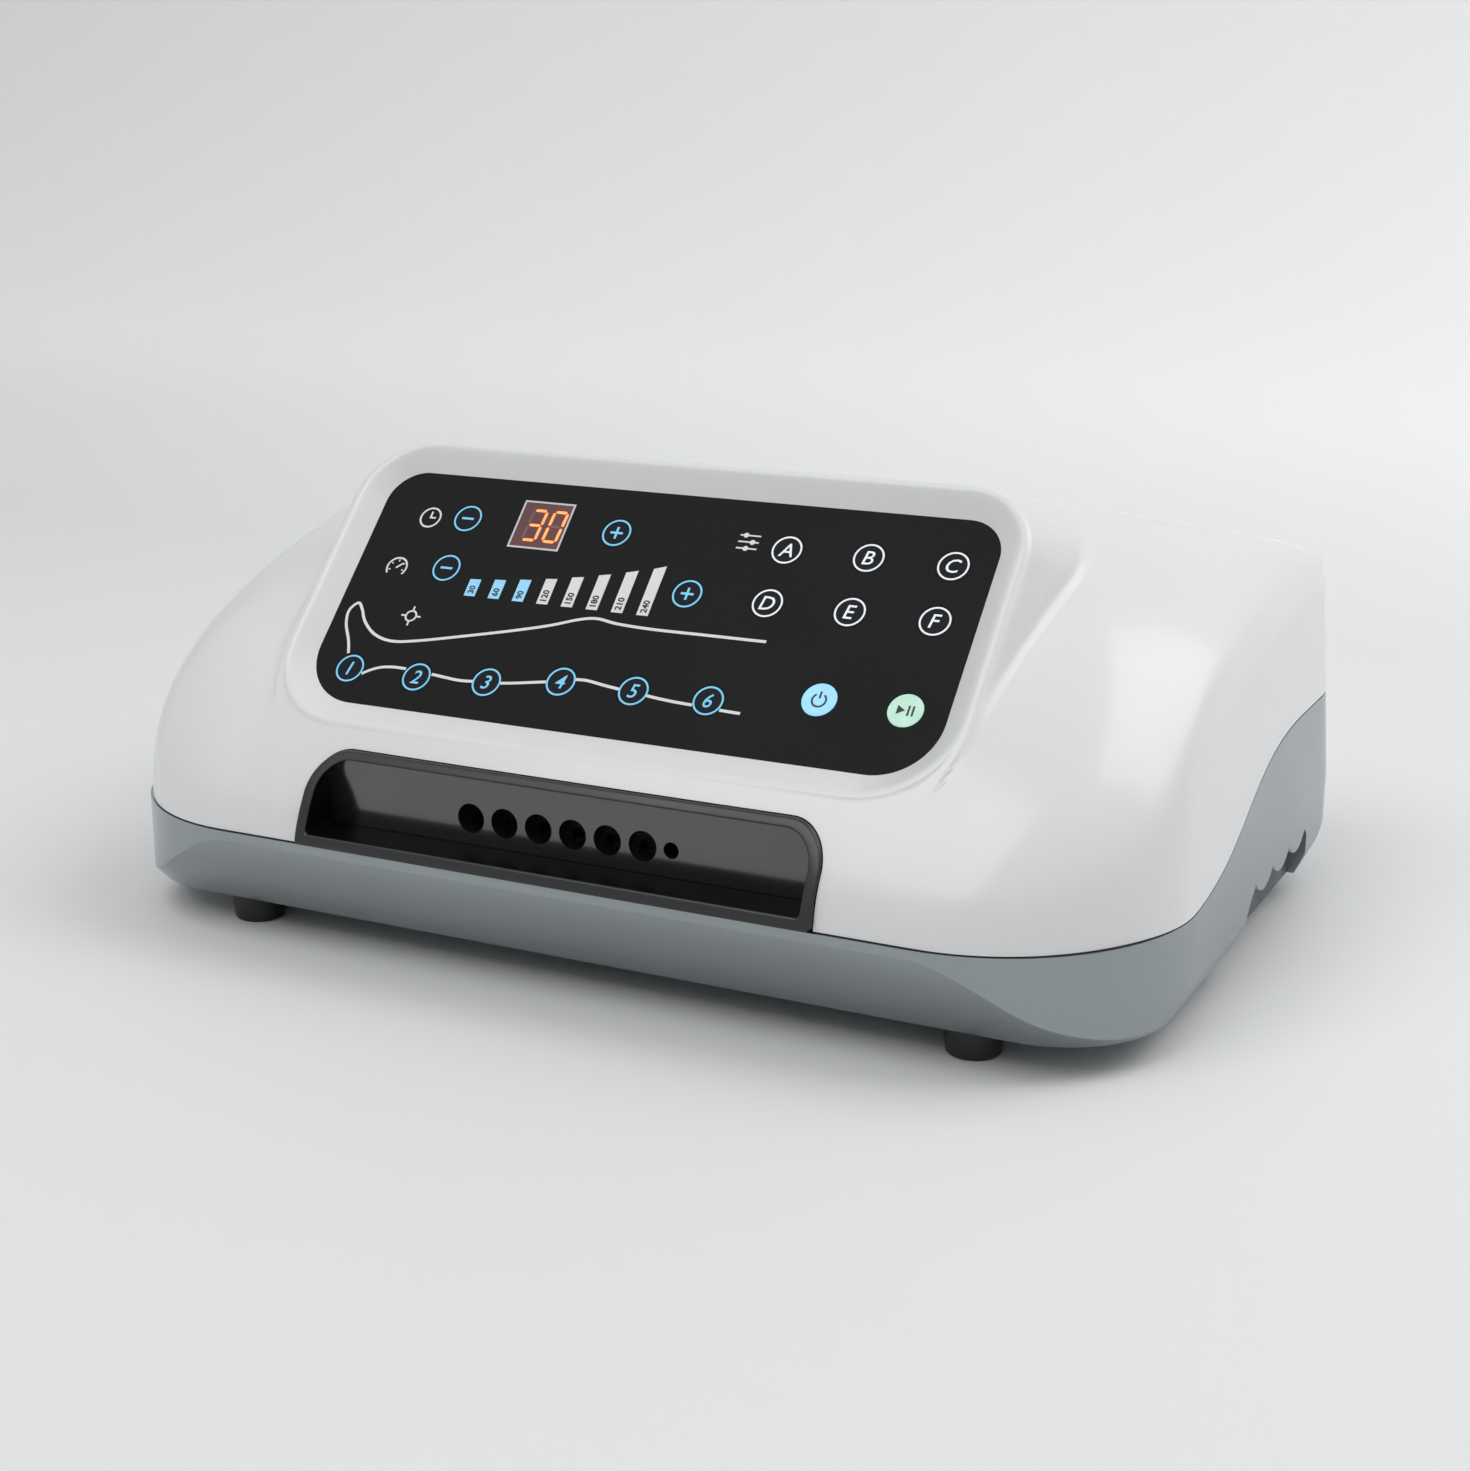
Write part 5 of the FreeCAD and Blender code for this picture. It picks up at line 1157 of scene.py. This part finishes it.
class PUMP_OT_make_leg_contour(bpy.types.Operator):
    """Print the contour of a leg that the zone keys lie on"""
    bl_idname = "pump.make_leg_contour"
    bl_label = "Leg contour"

    def execute(self, context):
        line = context.scene.pump_sizes.leg_line / MM
        paths = [smooth_path(LEG_UPPER, 10)] + [smooth_path(run, 6) for run in LEG_LOWER]
        add_sign("leg_contour", [ribbon(path, line, print_levels()) for path in paths],
                 "print_white")
        return {"FINISHED"}


def clock_sign(x, v, levels):
    """A clock at three."""
    return [ribbon(circle(x, v, PICTOGRAM_RADIUS), PICTOGRAM_LINE, levels, closed=True),
            stroke((x, v - 0.25), (x, v + 1.9), PICTOGRAM_LINE, levels),
            stroke((x + 0.25, v), (x + 1.6, v), PICTOGRAM_LINE, levels)]


def gauge_sign(x, v, levels):
    """An open ring with a needle and five ticks."""
    ticks = [[circle(x, v, reach, 1, angle, angle)[0] for reach in (1.8, 2.4)]
             for angle in (-20, 35, 90, 145, 200)]
    return [ribbon(circle(x, v, PICTOGRAM_RADIUS, 48, -40, 220), PICTOGRAM_LINE, levels),
            stroke((x - 0.2, v - 0.2), (x + 1.5, v + 1.4), PICTOGRAM_LINE, levels)] + [
                stroke(*tick, 0.35, levels) for tick in ticks]


def slider_sign(x, v, levels, half=2.8, line=0.42, knob_radius=0.72):
    """Three sliders with their knobs at different places."""
    parts = []
    for row, knob in ((1.9, -1.2), (0.0, 1.1), (-1.9, -0.2)):
        parts.append(stroke((x - half, v + row), (x + half, v + row), line, levels))
        parts.append(flat_prism(circle(x + knob, v + row, knob_radius, 24),
                                (levels[0], levels[1] + 0.01)))
    return parts


def target_sign(x, v, levels, radius=1.5):
    """A ring with four rays."""
    rays = [[circle(x, v, reach, 1, angle, angle)[0] for reach in (radius, PICTOGRAM_RADIUS)]
            for angle in (0, 90, 180, -90)]
    return [ribbon(circle(x, v, radius, 40), PICTOGRAM_LINE, levels, closed=True)] + [
        stroke(*ray, PICTOGRAM_LINE, levels) for ray in rays]


class PUMP_OT_make_pictograms(bpy.types.Operator):
    """Print the small clock, gauge, slider and target signs beside the settings"""
    bl_idname = "pump.make_pictograms"
    bl_label = "Pictograms"

    def execute(self, context):
        levels = print_levels()
        add_sign("pictograms", clock_sign(*CLOCK_AT, levels) + gauge_sign(*GAUGE_AT, levels)
                 + slider_sign(*SLIDERS_AT, levels) + target_sign(*TARGET_AT, levels),
                 "print_white")
        return {"FINISHED"}


def digit_segment(start, end):
    """A bar with pointed ends between two knots of a digit."""
    a, b = np.array(start) * DIGIT_SIZE, np.array(end) * DIGIT_SIZE
    ahead = (b - a) / np.linalg.norm(b - a)
    across = np.array([-ahead[1], ahead[0]]) * SEGMENT_HALF
    a, b, point = a + ahead * SEGMENT_GAP, b - ahead * SEGMENT_GAP, ahead * SEGMENT_POINT
    return np.array([a, a + point - across, b - point - across,
                     b, b - point + across, a + point + across])


class PUMP_OT_make_display(bpy.types.Operator):
    """Make the display's frame and its two seven-segment digits"""
    bl_idname = "pump.make_display"
    bl_label = "Display"

    def execute(self, context):
        levels = print_levels()
        self.make_frame(levels[0], levels[1] + DISPLAY_LIFT)
        lit, dark = [], []
        for digit, names in enumerate(LIT_SEGMENTS):
            left = DISPLAY_X + DIGIT_LEFT + DIGIT_PITCH * digit
            for name, (start, end) in SEGMENTS.items():
                x, v = digit_segment(start, end).T
                outline = np.stack([left + x + DIGIT_SLANT * (v - DIGIT_SIZE[1]),
                                    DISPLAY_V + DIGIT_FOOT + v], -1)
                (lit if name in names else dark).append(flat_prism(outline, levels))
        add_sign("digits_lit", lit, "digit_lit")
        add_sign("digits_dark", dark, "digit_dark")
        return {"FINISHED"}

    def make_frame(self, low, high):
        """A square-edged frame round the digits."""
        corners = np.array([(-1, -1), (1, -1), (1, 1), (-1, 1)])
        half = np.array([DISPLAY_WIDTH, DISPLAY_HEIGHT]) / 2
        outer, inner = ((DISPLAY_X, DISPLAY_V) + corners * (half - inset)
                        for inset in (0.0, DISPLAY_LINE))
        points = np.stack([on_panel(*ring.T, level) for ring, level in (
            (outer, low), (outer, high), (inner, high), (inner, low), (outer, low))])
        faces = grid_faces(*points.shape[:2], wrap=True).tolist()
        add_sign("display_frame", [(points, faces)], "display_frame")


# ---- stage ----

class PUMP_OT_make_stage(bpy.types.Operator):
    """Set the table top, the lamps, the sky and the camera"""
    bl_idname = "pump.make_stage"
    bl_label = "Stage"

    def execute(self, context):
        settings = context.scene.pump_stage
        self.make_floor(settings)
        self.make_lamp("key_lamp", *KEY_LAMP, settings.key_power)
        self.make_lamp("fill_lamp", *FILL_LAMP, settings.fill_power)
        self.make_sky(settings)
        self.make_camera()
        context.scene.view_settings.view_transform = "Standard"
        return {"FINISHED"}

    def make_floor(self, settings):
        """A level table top that turns up into a backdrop along a quarter circle."""
        turn = np.linspace(0, math.pi / 2, 24)
        y = np.concatenate([[FLOOR_FRONT], FLOOR_REAR + BACKDROP_RADIUS * np.sin(turn),
                            [FLOOR_REAR + BACKDROP_RADIUS]])
        z = np.concatenate([[0.0], BACKDROP_RADIUS * (1 - np.cos(turn)), [BACKDROP_TOP]])
        x = [-FLOOR_HALF, FLOOR_HALF]
        points = np.stack(np.broadcast_arrays(x, y[:, None], z[:, None]), -1)
        material = bpy.data.materials.new("table_top")
        material.use_nodes = True
        tree = material.node_tree
        shader = tree.nodes["Principled BSDF"]
        shader.inputs["Roughness"].default_value = 0.55
        shader.inputs["Specular IOR Level"].default_value = 0.25
        place = coordinates_of(tree)
        patch = mapped(tree, noise(tree, place, 3.0, 3.0), 0.0, 1.0)
        tone = mixed(tree, patch, settings.floor, tinted(settings.floor, 0.985))
        tree.links.new(tone, shader.inputs["Base Color"])
        self.light_backdrop(tree, shader, place, settings.backdrop_glow)
        add_mesh("table_top", points, grid_faces(len(y), 2), material)

    def light_backdrop(self, tree, shader, place, glow):
        """Light of its own on the raised part of the backdrop, where it is seen or mirrored."""
        raised = ranged(tree, component(tree, place, "Y"), *BACKDROP_FADE, 0.0, glow)
        shader.inputs["Emission Color"].default_value = (1.0, 1.0, 1.0, 1.0)
        tree.links.new(computed(tree, "MULTIPLY", raised, seen_directly(tree)),
                       shader.inputs["Emission Strength"])

    def make_lamp(self, name, place, width, power):
        """A large soft lamp that faces the pump."""
        data = bpy.data.lights.new(name, "AREA")
        data.energy = power
        data.size = width
        lamp = bpy.data.objects.new(name, data)
        lamp.location = place
        aim = np.subtract(LAMP_TARGET, place)
        lamp.rotation_euler = (math.atan2(math.hypot(aim[0], aim[1]), -aim[2]), 0,
                               math.atan2(aim[1], aim[0]) - math.pi / 2)
        bpy.context.scene.collection.objects.link(lamp)

    def make_sky(self, settings):
        """A sky that grows brighter upwards, and is even where it is seen."""
        world = bpy.data.worlds.new("sky")
        world.use_nodes = True
        tree = world.node_tree
        background = tree.nodes["Background"]
        background.inputs["Color"].default_value = (1, 1, 1, 1)
        height = component(tree, coordinates_of(tree, "Generated"), "Z")
        light = ranged(tree, height, 0.0, 0.7, settings.sky_low, settings.sky_high)
        tree.links.new(ranged(tree, seen_directly(tree), 0.0, 1.0, light, settings.background),
                       background.inputs["Strength"])
        bpy.context.scene.world = world

    def make_camera(self):
        """A camera before the front right corner that looks a little down."""
        data = bpy.data.cameras.new("camera")
        data.lens = CAMERA_LENS
        data.sensor_width = CAMERA_SENSOR
        data.clip_start = 0.05
        camera = bpy.data.objects.new("camera", data)
        camera.location = CAMERA_PLACE
        camera.rotation_euler = CAMERA_TURN
        bpy.context.scene.collection.objects.link(camera)
        bpy.context.scene.camera = camera


OPERATORS = (
    PUMP_OT_paint_nodes,
    PUMP_OT_make_top_shell,
    PUMP_OT_make_feet,
    PUMP_OT_make_recess_shade_plates,
    PUMP_OT_make_bezel,
    PUMP_OT_make_key_signs,
    PUMP_OT_make_pressure_bars,
    PUMP_OT_make_leg_contour,
    PUMP_OT_make_pictograms,
    PUMP_OT_make_display,
    PUMP_OT_make_stage,
)


class PUMP_PT_sidebar(bpy.types.Panel):
    """Lists the pump's sizes, colours and pieces"""
    bl_idname = "PUMP_PT_sidebar"
    bl_label = "Compression pump"
    bl_space_type = "VIEW_3D"
    bl_region_type = "UI"
    bl_category = "Pump"

    def draw(self, context):
        layout = self.layout
        for name in GROUPS:
            group = getattr(context.scene, name)
            box = layout.box()
            for setting in type(group).__annotations__:
                box.prop(group, setting)
        for operator in OPERATORS:
            layout.operator(operator.bl_idname)


GROUPS = {"pump_colours": PumpColours, "pump_sizes": PumpSizes, "pump_stage": PumpStage}


def register():
    for name, group in GROUPS.items():
        bpy.utils.register_class(group)
        setattr(bpy.types.Scene, name, bpy.props.PointerProperty(type=group))
    for operator in OPERATORS:
        bpy.utils.register_class(operator)
    bpy.utils.register_class(PUMP_PT_sidebar)


def unregister():
    bpy.utils.unregister_class(PUMP_PT_sidebar)
    for operator in reversed(OPERATORS):
        bpy.utils.unregister_class(operator)
    for name, group in GROUPS.items():
        delattr(bpy.types.Scene, name)
        bpy.utils.unregister_class(group)


def main():
    """Register and make every piece."""
    register()
    for operator in OPERATORS:
        group, name = operator.bl_idname.split(".")
        getattr(getattr(bpy.ops, group), name)()


if __name__ == "__main__":
    main()
